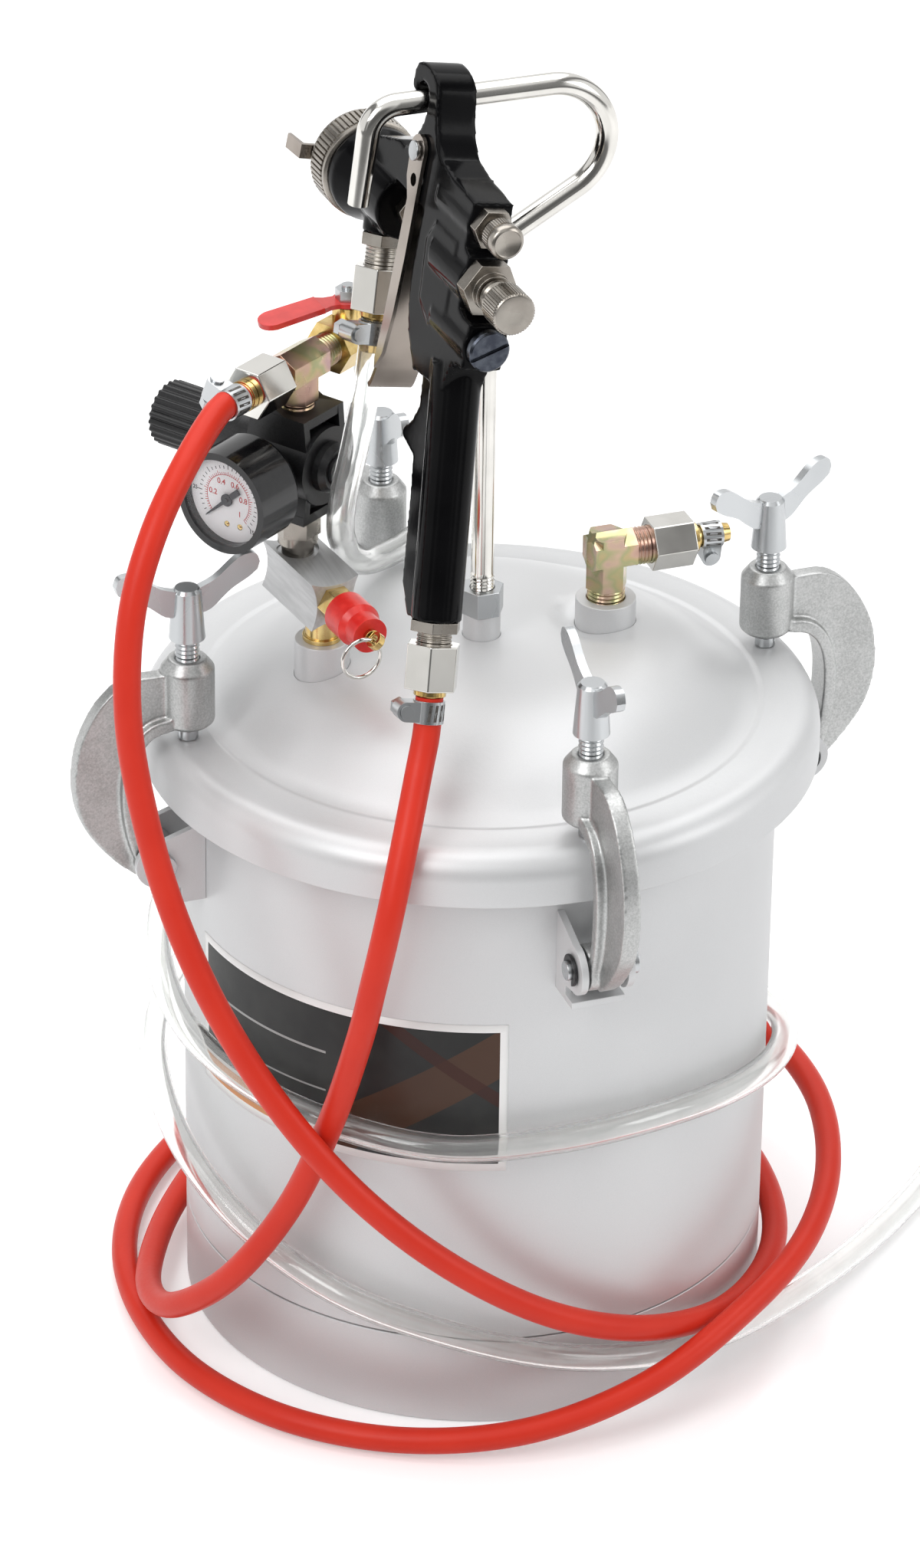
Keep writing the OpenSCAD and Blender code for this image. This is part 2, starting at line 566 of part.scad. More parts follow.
module trigger() color("lightgray") gun_frame() difference() {
  union() {
    slab(2 * trig_in + 0.2) polygon(concat([[9.2, web_top]],
      curve([[9.2, -92], [8.2, -106], [5.5, -116], [3.5, -119]], 3),
      curve([[5.2, -120.2], [7.4, -117], [10, -107], [11, -92]], 3), [[11, web_top]]));
    for (s = [-1, 1]) translate([0, s * (trig_in + 0.8), 0]) slab(1.6)
      polygon(concat(arc(pivot[0], pivot[2], 6.5, 200, -20, 12), [[16.6, -36], [17.2, -60],
        [16.6, -84], [14, -102], [9.6, -110], [8.2, -106], [9.2, -92], [9.2, -38], [5, -30]]));
  }
  translate(pivot) rotate([90, 0, 0]) cylinder(r = 2.5 + run, h = 60, center = true);
  translate([11.5, 0, -29.5]) rotate([90, 0, 0]) cylinder(r = 2.6, h = 60, center = true);
  translate([0, 0, needle_z]) along_x(0, 30, 2.6);
}
module fluid_needle() color("silver") gun_frame() translate([0, 0, needle_z]) {
  cone_x(-62, -56, 0.4, 1.2);
  along_x(-56.05, 50, 1.2);
  along_x(11.8, 15.5, 3.4);
  along_x(30, 34, 4.9);
}
module fluid_nozzle() color("silver") gun_frame() translate([0, 0, needle_z]) difference() {
  union() {
    along_x(-49, -37, 6);
    along_x(-50.5, -47.55, 9);
    cone_x(-62, -50.4, 2.2, 7);
  }
  along_x(-70, -30, 1.45);
}
cap_r = ring_r - 3.7;
module air_cap() color("silver") gun_frame() translate([0, 0, needle_z]) difference() {
  union() {
    along_x(-61.5, -51, cap_r);
    cone_x(-64.5, -61.5, 6, 9);
    for (s = [0, 1]) mirror([0, s, 0]) linear_extrude(height = 6, center = true)
      polygon([[-61, 8.5], [-61, 13.5], [-64.4, 13.6], [-65.6, 24], [-77.5, 25.2], [-78, 23.6],
        [-67.4, 22.3], [-66.4, 8.5]]);
  }
  cone_x(-66, -50.95, 2.35, 7.6);
  along_x(-55, -50, 12.5);
}
module cap_ring() color("lightgray") gun_frame() translate([0, 0, needle_z]) difference() {
  along_x(-63.6, -47.55, ring_r);
  along_x(-61.55, -40, cap_r + run);
  along_x(-70, -61, ring_r - 5.6);
}
// bushings and nipples that screw into the gun's body
module gun_fittings() color("silver") gun_frame() {
  translate([0, 0, needle_z]) difference() {
    union() {
      along_x(58.5, 67.1, 7);
      hex_x(67.05, 74, 11.8);
      along_x(73.9, 77.5, 7.6);
    }
    along_x(50, 90, 5 + run);
  }
  translate([0, 0, knob_z]) difference() {
    union() {
      along_x(53, 62.1, 5);
      hex_x(62.05, 67, 8.6);
    }
    along_x(50, 90, 3.4 + run);
  }
  translate([0, 0, needle_z]) difference() {
    union() {
      along_x(-13.5, -8.9, 4);
      hex_x(-8.95, -3.5, 6.4);
    }
    along_x(-20, 0, 1.2 + run);
  }
  gun_air() difference() {
    union() {
      along_x(-8, 0.2, 6);
      hex_x(0.1, 4.4, 10.6);
      rotate([0, 90, 0]) ridged(4.3, 15.4, 7, 0.5, 7);
    }
    along_x(-10, 20, 4);
  }
  gun_fluid() difference() {
    union() {
      along_x(1.5, 9.2, 6);
      hex_x(9.1, 14, 9.6);
      rotate([0, 90, 0]) ridged(13.9, 28.4, 7, 0.5, 9);
    }
    along_x(0, 40, 4);
  }
}
module knob_drum(a, b, r) translate([a, 0, 0]) rotate([0, 90, 0]) {
  cylinder(r1 = r - 0.8, r2 = r, h = 0.8);
  translate([0, 0, 0.8]) cylinder(r = r, h = b - a - 1.6);
  translate([0, 0, b - a - 0.8]) cylinder(r1 = r, r2 = r - 0.8, h = 0.8);
}
module fluid_knob() color("lightgray") gun_frame() translate([0, 0, needle_z]) {
  along_x(57.5, 80, 5);
  along_x(77.8, 84.1, 6.6);
  knob_drum(84, 97, 8.75);
}
module pattern_knob() color("lightgray") gun_frame() translate([0, 0, knob_z]) {
  along_x(53, 70, 3.4);
  along_x(67.3, 70.1, 5);
  knob_drum(70, 80, 7);
}
module air_valve_plug() color("dimgray") gun_frame() translate([0, 0, valve_z]) difference() {
  union() {
    along_x(67, 79.1, 6);
    knob_drum(79.05, 83.5, 8.4);
  }
  rotate([28, 0, 0]) translate([82.3, -10, -0.8]) cube([4, 20, 1.6]);
}
module air_valve_stem() color("silver") gun_frame() translate([0, 0, valve_z]) {
  cone_x(11.8, 12.8, 1.2, 2.2);
  along_x(12.75, 56, 2.2);
}

// clamps, drawn on +X and turned to their places
arm_out = [[-7, 82], [5, 82.5], [13, 80.5], [21, 74], [27.5, 64], [31.8, 53], [33.5, 40], [32.6, 28],
  [29, 17], [22.5, 7], [15, -1.5], [8, -7.5]];
arm_in = [[-7, 58.5], [0, 57], [5, 52.5], [8, 45], [9.2, 34], [8.6, 20], [7, 8]];
arm_rib = [[-7, 64], [2, 62.3], [9, 56], [13, 46.5], [14.6, 34.5], [14, 20.5], [11.5, 8], [8.5, 0]];
fin_w = 7;
module at_arm(y) translate([pin_rho, y, pin_z + lid_z - rim_z - 7]) children();
boss_lo = lid_z + 7;
boss_hi = lid_z + 37;
boss_r = screw_r + 6;
boss_bevel = 4.5;
module at_boss(z) translate([screw_rho, 0, z]) children();
module clamp_arm(a) color("silver") rotate([0, 0, a]) difference() {
  union() {
    at_arm(0) slab(fin_w) polygon(concat(curve(arm_out, 3), rev(curve(arm_in, 3))));
    at_arm(0) slab(arm_w) polygon(concat(curve(arm_rib, 3), rev(curve(arm_in, 3))));
    translate([pin_rho, 0, pin_z]) rotate([90, 0, 0]) cylinder(r = pin_r + 5.5, h = arm_w - 1, center = true);
    at_boss(boss_lo) cylinder(r1 = boss_r - 2, r2 = boss_r, h = 2);
    at_boss(boss_lo + 1.95) cylinder(r = boss_r, h = boss_hi - boss_lo - boss_bevel - 1.95);
    at_boss(boss_hi - boss_bevel - 0.05) cylinder(r1 = boss_r, r2 = screw_r + 2.6, h = boss_bevel);
  }
  at_boss(lid_z) cylinder(r = screw_r + run, h = 60);
  translate([pin_rho, 0, pin_z]) rotate([90, 0, 0]) cylinder(r = pin_r + run, h = 60, center = true);
}
foot_h = 4.2;
module clamp_foot(a) color("silver") rotate([0, 0, a]) translate([screw_rho, 0, lid_z + 0.3]) difference() {
  cylinder(r = screw_r - 0.8, h = foot_h);
  translate([0, 0, foot_h - 2]) cylinder(r = screw_r / 2 + run, h = 4);
}
wing = concat(curve([[4, 56], [10, 57.6], [16, 62.6], [20, 65.4], [26, 68.4], [30, 71.2]], 3),
  curve([[31, 74.4], [29.6, 78], [26, 79], [21, 77.4], [12, 70.5], [4, 67.5]], 3));
module clamp_screw(a, yaw) color("silver") rotate([0, 0, a]) translate([screw_rho, 0, lid_z]) {
  translate([0, 0, foot_h - 1.6]) cylinder(r = screw_r / 2, h = 2.1);
  ridged(foot_h + 0.4, 47, screw_r, 0.55, 22);
  translate([0, 0, 46]) cylinder(r1 = screw_r + 2.4, r2 = screw_r + 0.9, h = 21);
  translate([0, 0, 66.95]) cylinder(r1 = screw_r + 0.9, r2 = screw_r - 0.3, h = 1.4);
  rotate([0, 0, yaw]) for (s = [0, 180]) rotate([0, 0, s]) slab(3.6) polygon(wing);
}

// hoses: a tube carried along a curve through hand-set points; the turns round the tank are set by
// bearing, radius and height
function around(p) = [for (q = p) [q[1] * cos(q[0]), q[1] * sin(q[0]), q[2]]];
function unit(v) = v / norm(v);
function route(p, step) = let (n = len(p))
  [for (i = [0:n - 2]) let (k = max(1, round(norm(p[i + 1] - p[i]) / step))) for (j = [0:k - 1])
    cr(p[max(i - 1, 0)], p[i], p[i + 1], p[min(i + 2, n - 1)], j / k), p[n - 1]];
function tangents(p) = [for (i = [0:len(p) - 1]) unit(p[min(i + 1, len(p) - 1)] - p[max(i - 1, 0)])];
function carry(t, i, n) = i == len(t) ? [] :
  let (m = unit(n - (n * t[i]) * t[i])) concat([m], carry(t, i + 1, m));
function run_length(p) = let (d = [for (i = [1:len(p) - 1]) norm(p[i] - p[i - 1])]) d * [for (x = d) 1];
// least gap between stretches of one hose that lie more than a hand's width apart along it
function self_gap(p, r) =
  min([for (i = [0:len(p) - 6]) for (j = [i + 5:len(p) - 1]) norm(p[i] - p[j]) - 2 * r]);
module tube(p, r, sides) {
  s = is_list(r) ? r : [for (q = p) r];
  t = tangents(p);
  n = carry(t, 0, [0.3, 1, 0.2]);
  c = len(p);
  points = [for (i = [0:c - 1]) for (j = [0:sides - 1]) let (a = 360 * j / sides)
    p[i] + s[i] * (cos(a) * n[i] + sin(a) * cross(t[i], n[i]))];
  skin = [for (i = [0:c - 2]) for (j = [0:sides - 1]) let (a = i * sides, k = (j + 1) % sides)
    each [[a + j, a + sides + j, a + sides + k], [a + j, a + sides + k, a + k]]];
  caps = [for (j = [1:sides - 2]) each [[0, j, j + 1],
    [(c - 1) * sides, (c - 1) * sides + j + 1, (c - 1) * sides + j]]];
  polyhedron(points = points, faces = concat(skin, caps));
}
air_drop = [
  [-101.6, 1.5, 427], [-114, -7, 426.5], [-134, -25.5, 414], [-151, -39.5, 394.5], [-163, -49.5, 368],
  [-168, -57, 335], [-166.5, -63.5, 300], [-158, -74.5, 252], [-143.5, -89.5, 207], [-122, -107, 165],
  [-94, -123, 127], [-59, -134.5, 93.5], [-18.5, -139, 65]];
air_turns = [
  [280, 136, 45], [300, 132.5, 31], [320, 130.5, 25.5], [340, 129.5, 23], [360, 129.5, 24],
  [380, 133, 25], [400, 138.5, 24], [420, 144.5, 20], [440, 149.5, 14.5], [460, 152, 10.5],
  [480, 153, 8], [500, 151, 6.5], [520, 149.5, 5.8], [540, 149, 5.8], [560, 150.5, 5.8], [580, 150.5, 6],
  [600, 148, 7], [620, 147, 12.5], [640, 146.5, 24], [660, 146, 37.5], [680, 148.5, 45], [700, 151.5, 51],
  [720, 156, 56.5], [740, 159, 59], [760, 157.5, 55], [780, 154, 46], [800, 148.5, 35.5],
  [820, 140.5, 26], [840, 132.5, 18], [860, 129.5, 13.5], [880, 134, 13], [900, 145.5, 18.5]];
air_rise = [
  [-147, -38, 32], [-133, -72, 64], [-114.5, -92.5, 106], [-101.5, -107, 152], [-94.5, -122.5, 199],
  [-90.5, -128.5, 228], [-84.5, -129, 256.5], [-75, -119.5, 283], [-63.5, -104, 307.5],
  [-58.5, -98, 320.5], [-55.9, -94, 334.3]];
fluid_drop = [
  [-40.2, 18.2, 445], [-42.5, 16, 431.5], [-46.5, 10.5, 419], [-51.5, 3.5, 408.5], [-56.5, -2.5, 396.5],
  [-60.5, -5, 384], [-61, -1.5, 371.5], [-59, 5.5, 360], [-55, 15, 350], [-45.5, 34, 332],
  [-31.5, 53, 317.5], [-10, 75.5, 308.5], [8, 94, 304.5], [25, 114, 298], [38, 133, 287.5],
  [45.5, 148, 268], [47, 153, 246], [41, 152, 222], [26, 147, 202], [5, 140, 189.5], [-16, 136, 183.5]];
fluid_turns = [
  [106, 133, 181], [125, 129.5, 179], [145, 131.5, 175.5], [165, 134, 166], [185, 133.5, 153.5],
  [205, 131, 146], [225, 130, 142], [245, 131, 139.5], [265, 130, 141.5], [285, 129.5, 141],
  [305, 130, 135.5], [325, 130, 126], [345, 130.5, 115], [365, 129.5, 105], [385, 129.5, 100.5],
  [405, 129.5, 101.5], [425, 130, 106.5], [445, 130.5, 112.5], [465, 131, 118], [485, 132.5, 121],
  [505, 134.5, 119.5], [525, 136, 112], [545, 135, 95.5], [565, 132.5, 77], [585, 130.5, 61],
  [605, 129.5, 49], [625, 130, 36], [645, 129.5, 24], [660, 130, 18]];
fluid_tail = [[88.5, -100.5, 14], [130.5, -74, 9], [171, -44.5, 6.5], [208, -12, 6], [240, 24, 6],
  [266, 66, 6]];
air_route = concat(air_drop, around(air_turns), air_rise);
fluid_route = concat(fluid_drop, around(fluid_turns), fluid_tail);
ring_step = 20;
module air_hose() color("red") tube(route(air_route, ring_step), air_hose_r, 12);
module fluid_hose() color("white", 0.5) tube(route(fluid_route, ring_step), fluid_hose_r, 12);
echo(air_hose_mm = run_length(route(air_route, ring_step)), rings = len(route(air_route, ring_step)),
  least_gap = self_gap(route(air_route, 20), air_hose_r));
echo(fluid_hose_mm = run_length(route(fluid_route, ring_step)), rings = len(route(fluid_route, ring_step)),
  least_gap = self_gap(route(fluid_route, 20), fluid_hose_r));

tank_shell();
base_skirt();
clamp_brackets();
clamp_pins();
lid();
lid_gasket();
lid_ports();
handle_rod();
handle_nut();
pickup_tube();
outlet_elbow();
hose_union_nuts();
hose_barbs();
hose_clamps();
port_nipple();
manifold_block();
safety_valve_body();
safety_valve_cap();
safety_valve_stem();
pull_ring();
regulator_swivel();
regulator_body();
regulator_plug();
regulator_bonnet();
regulator_knob();
gauge_case();
gauge_dial();
gauge_pointer();
gauge_lens();
air_tee();
ball_valve_body();
valve_stem();
valve_lever();
air_hose();
fluid_hose();
gun_body();
air_cap();
cap_ring();
fluid_nozzle();
fluid_needle();
trigger();
trigger_pin();
pattern_knob();
fluid_knob();
gun_fittings();
air_valve_plug();
air_valve_stem();
clamp_arm(0);  // clamp_arm_right
clamp_arm(90);  // clamp_arm_back
clamp_arm(180);  // clamp_arm_left
clamp_arm(270);  // clamp_arm_front
clamp_screw(0, 18);  // clamp_screw_right
clamp_screw(90, 0);  // clamp_screw_back
clamp_screw(180, 5);  // clamp_screw_left
clamp_screw(270, 0);  // clamp_screw_front
clamp_foot(0);  // clamp_foot_right
clamp_foot(90);  // clamp_foot_back
clamp_foot(180);  // clamp_foot_left
clamp_foot(270);  // clamp_foot_front
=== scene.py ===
# %% [markdown]
# # Pressure feed pot with a hung spray gun
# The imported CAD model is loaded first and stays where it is. Everything that follows dresses it:
# finer copies of the castings, the two hoses, knurls, the dial's print, the label and the finishes.

# %% Frame
import json
import math
import bmesh
import bpy
import numpy as np
from mathutils import Matrix, Vector

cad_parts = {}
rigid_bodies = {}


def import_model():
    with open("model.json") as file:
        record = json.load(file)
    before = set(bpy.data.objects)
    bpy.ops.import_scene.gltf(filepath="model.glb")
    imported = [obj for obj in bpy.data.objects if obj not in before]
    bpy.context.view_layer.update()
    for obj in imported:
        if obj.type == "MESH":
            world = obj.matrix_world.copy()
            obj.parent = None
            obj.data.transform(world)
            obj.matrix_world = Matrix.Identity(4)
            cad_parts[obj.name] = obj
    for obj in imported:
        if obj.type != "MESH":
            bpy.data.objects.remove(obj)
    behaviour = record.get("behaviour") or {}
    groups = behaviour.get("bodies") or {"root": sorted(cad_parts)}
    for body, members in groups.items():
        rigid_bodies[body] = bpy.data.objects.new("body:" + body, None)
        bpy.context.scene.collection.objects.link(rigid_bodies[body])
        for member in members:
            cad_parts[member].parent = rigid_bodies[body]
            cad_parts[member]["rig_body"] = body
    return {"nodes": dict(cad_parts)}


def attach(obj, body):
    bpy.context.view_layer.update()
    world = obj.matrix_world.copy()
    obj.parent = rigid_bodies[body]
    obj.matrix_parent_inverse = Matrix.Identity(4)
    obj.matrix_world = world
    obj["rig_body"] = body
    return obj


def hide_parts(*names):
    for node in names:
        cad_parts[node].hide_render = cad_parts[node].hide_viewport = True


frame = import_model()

MM = 0.001
scene = bpy.context.scene
nodes = frame["nodes"]
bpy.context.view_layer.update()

# %% [markdown]
# The camera stands in front of the pot, a little to its left and well above it, with a long lens.
# It could be found by eye; here the direction, the distance and a slight roll were fitted to the
# ellipses of the rim and the base skirt and to the clamps' axes, so they are written as numbers.

# %% Camera
AZIMUTH, ELEVATION, ROLL = math.radians(-20.07), math.radians(29.42), math.radians(0.775)
DISTANCE, FOCAL_PX, FRAME_H, SENSOR = 2.634, 8376, 2046, 36
AIM_Z, AIM_LEFT, AIM_DOWN = 0.270, 0.0079, 0.03083
back = np.array([math.sin(AZIMUTH) * math.cos(ELEVATION),
                 -math.cos(AZIMUTH) * math.cos(ELEVATION), math.sin(ELEVATION)])
right = np.array([math.cos(AZIMUTH), math.sin(AZIMUTH), 0.0])
up = np.cross(back, right)
aim = np.array([0, 0, AIM_Z]) - AIM_LEFT * right - AIM_DOWN * up
turned_right = math.cos(ROLL) * right + math.sin(ROLL) * up
turned_up = math.cos(ROLL) * up - math.sin(ROLL) * right
cam = bpy.data.objects.new("camera", bpy.data.cameras.new("camera"))
scene.collection.objects.link(cam)
cam.matrix_world = Matrix([[*row, at] for row, at in zip(
    np.stack([turned_right, turned_up, back], axis=1), aim + DISTANCE * back)] + [[0, 0, 0, 1]])
cam.data.sensor_width = SENSOR
cam.data.lens = SENSOR * FOCAL_PX / FRAME_H
cam.data.clip_end = 50
scene.camera = cam
scene.view_settings.view_transform = "Standard"
print("camera at", np.round(aim + DISTANCE * back, 3))

# %% [markdown]
# Shader maths reads best as plain expressions. A small class wraps one output socket: `a + b` or
# `1 - a` adds a Math node, and `node` adds any other kind, first its settings, then its sockets.

# %% Sockets with arithmetic
GENERATED, UV, OBJECT = 0, 2, 3          # outputs of a Texture Coordinate node


class Wire:
    """One shader socket. Python's operators on it add Math nodes to its tree."""

    def __init__(self, tree, socket=None):
        self.tree, self.socket = tree, socket

    def node(self, kind, settings=None, pick=0, **sockets):
        made = self.tree.nodes.new(kind)
        for key, value in (settings or {}).items():
            if key == "stops":
                ramp = made.color_ramp.elements
                while len(ramp) < len(value):
                    ramp.new(0.5)
                for stop, (place, colour) in zip(ramp, value):
                    stop.position, stop.color = place, (*colour, 1)
            else:
                setattr(made, key, value)
        for key, value in sockets.items():
            port = made.inputs[int(key[1:]) if key[1:].isdigit() else key.replace("_", " ")]
            if isinstance(value, Wire):
                self.tree.links.new(value.socket, port)
            else:
                port.default_value = value
        return Wire(self.tree, made.outputs[pick])

    def maths(self, operation, a, b=0.0):
        return self.node("ShaderNodeMath", {"operation": operation}, i0=a, i1=b)

    def __add__(self, other):
        return self.maths("ADD", self, other)

    def __radd__(self, other):
        return self.maths("ADD", other, self)

    def __sub__(self, other):
        return self.maths("SUBTRACT", self, other)

    def __rsub__(self, other):
        return self.maths("SUBTRACT", other, self)

    def __mul__(self, other):
        return self.maths("MULTIPLY", self, other)

    def __rmul__(self, other):
        return self.maths("MULTIPLY", other, self)

    def __truediv__(self, other):
        return self.maths("DIVIDE", self, other)

    def __gt__(self, other):
        return self.maths("GREATER_THAN", self, other)

    def __lt__(self, other):
        return self.maths("LESS_THAN", self, other)

    def ramp(self, low, high):
        """0 below low, 1 above high, smooth between."""
        return self.node("ShaderNodeMapRange", {"interpolation_type": "SMOOTHSTEP"},
                         Value=self, From_Min=low, From_Max=high)

    def blend(self, a, b):
        """Colour a where this is 0 and b where it is 1."""
        return self.node("ShaderNodeMix", {"data_type": "RGBA"}, pick=2, i0=self, i6=a, i7=b)

    def noise(self, scale, detail=3.0, stretch=(1, 1, 1)):
        """Noise over Object coordinates, in cycles per metre."""
        place = self.node("ShaderNodeTexCoord", pick=OBJECT)
        if stretch != (1, 1, 1):
            place = self.node("ShaderNodeMapping", Vector=place, Scale=stretch)
        return self.node("ShaderNodeTexNoise", Vector=place, Scale=scale, Detail=detail)

    def plane(self, source):
        """The x and y wires of one of Texture Coordinate's outputs."""
        place = self.node("ShaderNodeTexCoord", pick=source)
        parts = self.node("ShaderNodeSeparateXYZ", Vector=place).socket.node.outputs
        return Wire(self.tree, parts[0]), Wire(self.tree, parts[1])

    def rays(self):
        """Wires that are 1 on a ray from the camera, off a mirror and through glass."""
        parts = self.node("ShaderNodeLightPath").socket.node.outputs
        return [Wire(self.tree, parts["Is " + kind + " Ray"]) for kind in ("Camera", "Glossy", "Transmission")]


def colour(r, g, b):
    """A socket's colour from red, green and blue."""
    return (r, g, b, 1.0)


class Finish(Wire):
    """A material with one Principled shader. Constants are set on its own sockets."""

    def __init__(self, name, **constants):
        self.mat = bpy.data.materials.new(name)
        self.mat.use_nodes = True
        super().__init__(self.mat.node_tree)
        self.shader = self.tree.nodes["Principled BSDF"]
        for key, value in constants.items():
            self.shader.inputs[key.replace("_", " ")].default_value = value

    def feed(self, **wires):
        """Links each wire to the shader's socket of that name."""
        for key, wire in wires.items():
            self.tree.links.new(wire.socket, self.shader.inputs[key.replace("_", " ")])

    def bump(self, height, depth, strength):
        """Bump by a height wire of 0 to 1, depth in metres."""
        self.feed(Normal=self.node("ShaderNodeBump", Height=height, Distance=depth, Strength=strength))

    def shade(self, wire, low, high, rough=None, span=(0.3, 0.7)):
        """Base Color runs from low to high as the wire crosses the span. With rough, Roughness is
        rough[0] + rough[1] times the wire."""
        self.feed(Base_Color=wire.ramp(*span).blend(colour(*low), colour(*high)))
        if rough:
            self.feed(Roughness=rough[0] + rough[1] * wire)


print("sockets ready")

# %% [markdown]
# The studio is white all round, as for a catalogue picture. The world and the floor show white to
# the camera and to mirrors, and give the object itself a plain level of soft light. Bright metal
# needs something dark to mirror too: the side of the room behind the camera is dim, two dark flags
# stand left and right, and the floor ends in front of the pot as a table does.

# %% World, lamps and floor
world = bpy.data.worlds.new("studio")
scene.world = world
world.use_nodes = True
room = Wire(world.node_tree)
seen, mirrored, through = room.rays()
ray = room.node("ShaderNodeTexCoord", pick=GENERATED)
DIM_FROM, DIM_TO, DIM_SHARE = 0.76, 0.93, 0.85
FLAG_RIGHT, FLAG_LEFT, FLAG_SOFT, FLAG_SHARE = (0.52, 0.68), (-0.80, -0.60), 0.06, 0.75
AMBIENT = 0.48


def facing(way):
    """How far a ray of the world points along a level direction."""
    level_way = Vector((way[0], way[1], 0)).normalized()
    return room.node("ShaderNodeVectorMath", {"operation": "DOT_PRODUCT"}, pick=1, i0=ray, i1=level_way)


toward, aside = facing(back), facing(right)


def flag(start, stop):
    """1 where a ray points aside by start to stop, with soft edges."""
    return aside.ramp(start, start + FLAG_SOFT) - aside.ramp(stop, stop + FLAG_SOFT)


dimmed = 1 - DIM_SHARE * toward.ramp(DIM_FROM, DIM_TO)
flagged = 1 - FLAG_SHARE * (flag(*FLAG_RIGHT) + flag(*FLAG_LEFT))
soft_light = AMBIENT + (1 - AMBIENT) * through
level = seen + (1 - seen) * (mirrored * dimmed * flagged + (1 - mirrored) * soft_light)
world_out = world.node_tree.nodes["Background"]
world_out.inputs["Color"].default_value = colour(1, 1, 1)
room.tree.links.new(level.socket, world_out.inputs["Strength"])
POT_MIDDLE = Vector((0, 0, 0.25))


def lamp(name, place, size, power):
    """A square soft box that looks at the middle of the pot."""
    data = bpy.data.lights.new(name, "AREA")
    data.size, data.energy = size, power
    obj = bpy.data.objects.new(name, data)
    scene.collection.objects.link(obj)
    obj.location = place
    obj.rotation_mode = "QUATERNION"
    obj.rotation_quaternion = (Vector(place) - POT_MIDDLE).to_track_quat("Z", "Y")


lamp("soft_box_left", (-1.7, -1.1, 1.9), 1.3, 24)
lamp("soft_box_right", (1.6, -1.3, 1.3), 1.0, 9)
lamp("soft_box_top", (0.1, 0.5, 2.4), 2.4, 36)

FLOOR, FLOOR_DROP = 8.0, 0.0002
CORNERS = ((-1, -1), (1, -1), (1, 1), (-1, 1))
floor_mesh = bpy.data.meshes.new("floor")
floor_mesh.from_pydata([(x * FLOOR, y * FLOOR, -FLOOR_DROP) for x, y in CORNERS], [], [(0, 1, 2, 3)])
floor = bpy.data.objects.new("floor", floor_mesh)
scene.collection.objects.link(floor)
pale = Finish("pale_floor", Base_Color=colour(0.86, 0.86, 0.865), Roughness=0.16,
              Emission_Color=colour(1, 1, 1))
GLOW_NEAR, GLOW_MORE, GLOW_FROM, GLOW_TO = 0.32, 0.30, 0.5, 2.0
TABLE_END, TABLE_DARK, UNLIT = 0.90, 1.50, 0.20
by_camera, by_mirror, by_glass = pale.rays()
floor_x, floor_y = pale.plane(OBJECT)
far = pale.maths("SQRT", floor_x * floor_x + floor_y * floor_y).ramp(GLOW_FROM, GLOW_TO)
pale.feed(Emission_Strength=(GLOW_NEAR + GLOW_MORE * far) * (by_camera + by_mirror + by_glass))
ahead = (floor_x * float(back[0]) + floor_y * float(back[1])) / math.cos(ELEVATION)
beyond = by_mirror * ahead.ramp(TABLE_END, TABLE_DARK)
unlit = pale.node("ShaderNodeEmission", Color=colour(UNLIT, UNLIT, UNLIT))
shown = pale.node("ShaderNodeMixShader", i0=beyond, i1=Wire(pale.tree, pale.shader.outputs[0]), i2=unlit)
pale.tree.links.new(shown.socket, pale.tree.nodes["Material Output"].inputs["Surface"])
floor_mesh.materials.append(pale.mat)
print("studio lit")

# %% [markdown]
# ## Finishes
# Each finish is a base colour with the small things that the real surface shows: flake and orange
# peel in the silver paint, the rough skin of a forging under zinc, the rainbow of yellow passivate,
# grain in moulded plastic. Patterns sit on Object coordinates, so their scale is in real metres.

# %% Paint, plate and plastic
silver = Finish("silver_paint", Metallic=0.30)
flake, drift = silver.noise(2600, 2.0), silver.noise(9)
silver.shade(0.35 * flake + 0.65 * drift, (0.62, 0.625, 0.632), (0.69, 0.695, 0.70), span=(0.25, 0.75))
silver.feed(Roughness=0.36 + 0.12 * flake)
silver.bump(silver.noise(420, 2.0), 0.00012, 0.35)

forged = Finish("forged_zinc", Metallic=1.0)
skin_grain, worn = forged.noise(1300), forged.noise(60)
forged.shade(0.6 * skin_grain + 0.4 * worn, (0.36, 0.365, 0.36), (0.54, 0.545, 0.54))
forged.feed(Roughness=0.34 + 0.14 * worn)
forged.bump(skin_grain, 0.00012, 0.3)

zinc = Finish("bright_zinc", Metallic=1.0)
zinc.shade(zinc.noise(25, 2.0), (0.46, 0.475, 0.485), (0.53, 0.545, 0.555), (0.22, 0.10))

nickel = Finish("bright_nickel", Metallic=1.0)
nickel.shade(nickel.noise(60), (0.64, 0.625, 0.59), (0.72, 0.705, 0.67), (0.09, 0.08))

satin = Finish("satin_nickel", Metallic=1.0)
satin.shade(satin.noise(90), (0.29, 0.265, 0.235), (0.37, 0.345, 0.31), (0.22, 0.10))

pressed = Finish("pressed_nickel", Metallic=1.0)
pressed.shade(pressed.noise(40, 2.0), (0.27, 0.235, 0.205), (0.35, 0.31, 0.275), (0.20, 0.08))

dark = Finish("dark_nickel", Metallic=1.0)
dark.shade(dark.noise(300), (0.045, 0.05, 0.065), (0.09, 0.10, 0.12), (0.20, 0.12))

rainbow = Finish("yellow_zinc", Metallic=1.0)
film = rainbow.node("ShaderNodeValToRGB", {"stops": [
    (0.30, (0.46, 0.29, 0.24)), (0.42, (0.56, 0.38, 0.29)), (0.49, (0.50, 0.40, 0.22)),
    (0.55, (0.39, 0.39, 0.21)), (0.62, (0.56, 0.41, 0.30)), (0.72, (0.50, 0.33, 0.32))]},
    Fac=rainbow.noise(65, 2.0))
rainbow.feed(Base_Color=film, Roughness=0.20 + 0.12 * rainbow.noise(70, 2.0))

brass = Finish("turned_brass", Metallic=1.0)
brass.shade(brass.noise(160, 4.0), (0.56, 0.38, 0.13), (0.74, 0.56, 0.25), (0.14, 0.16))

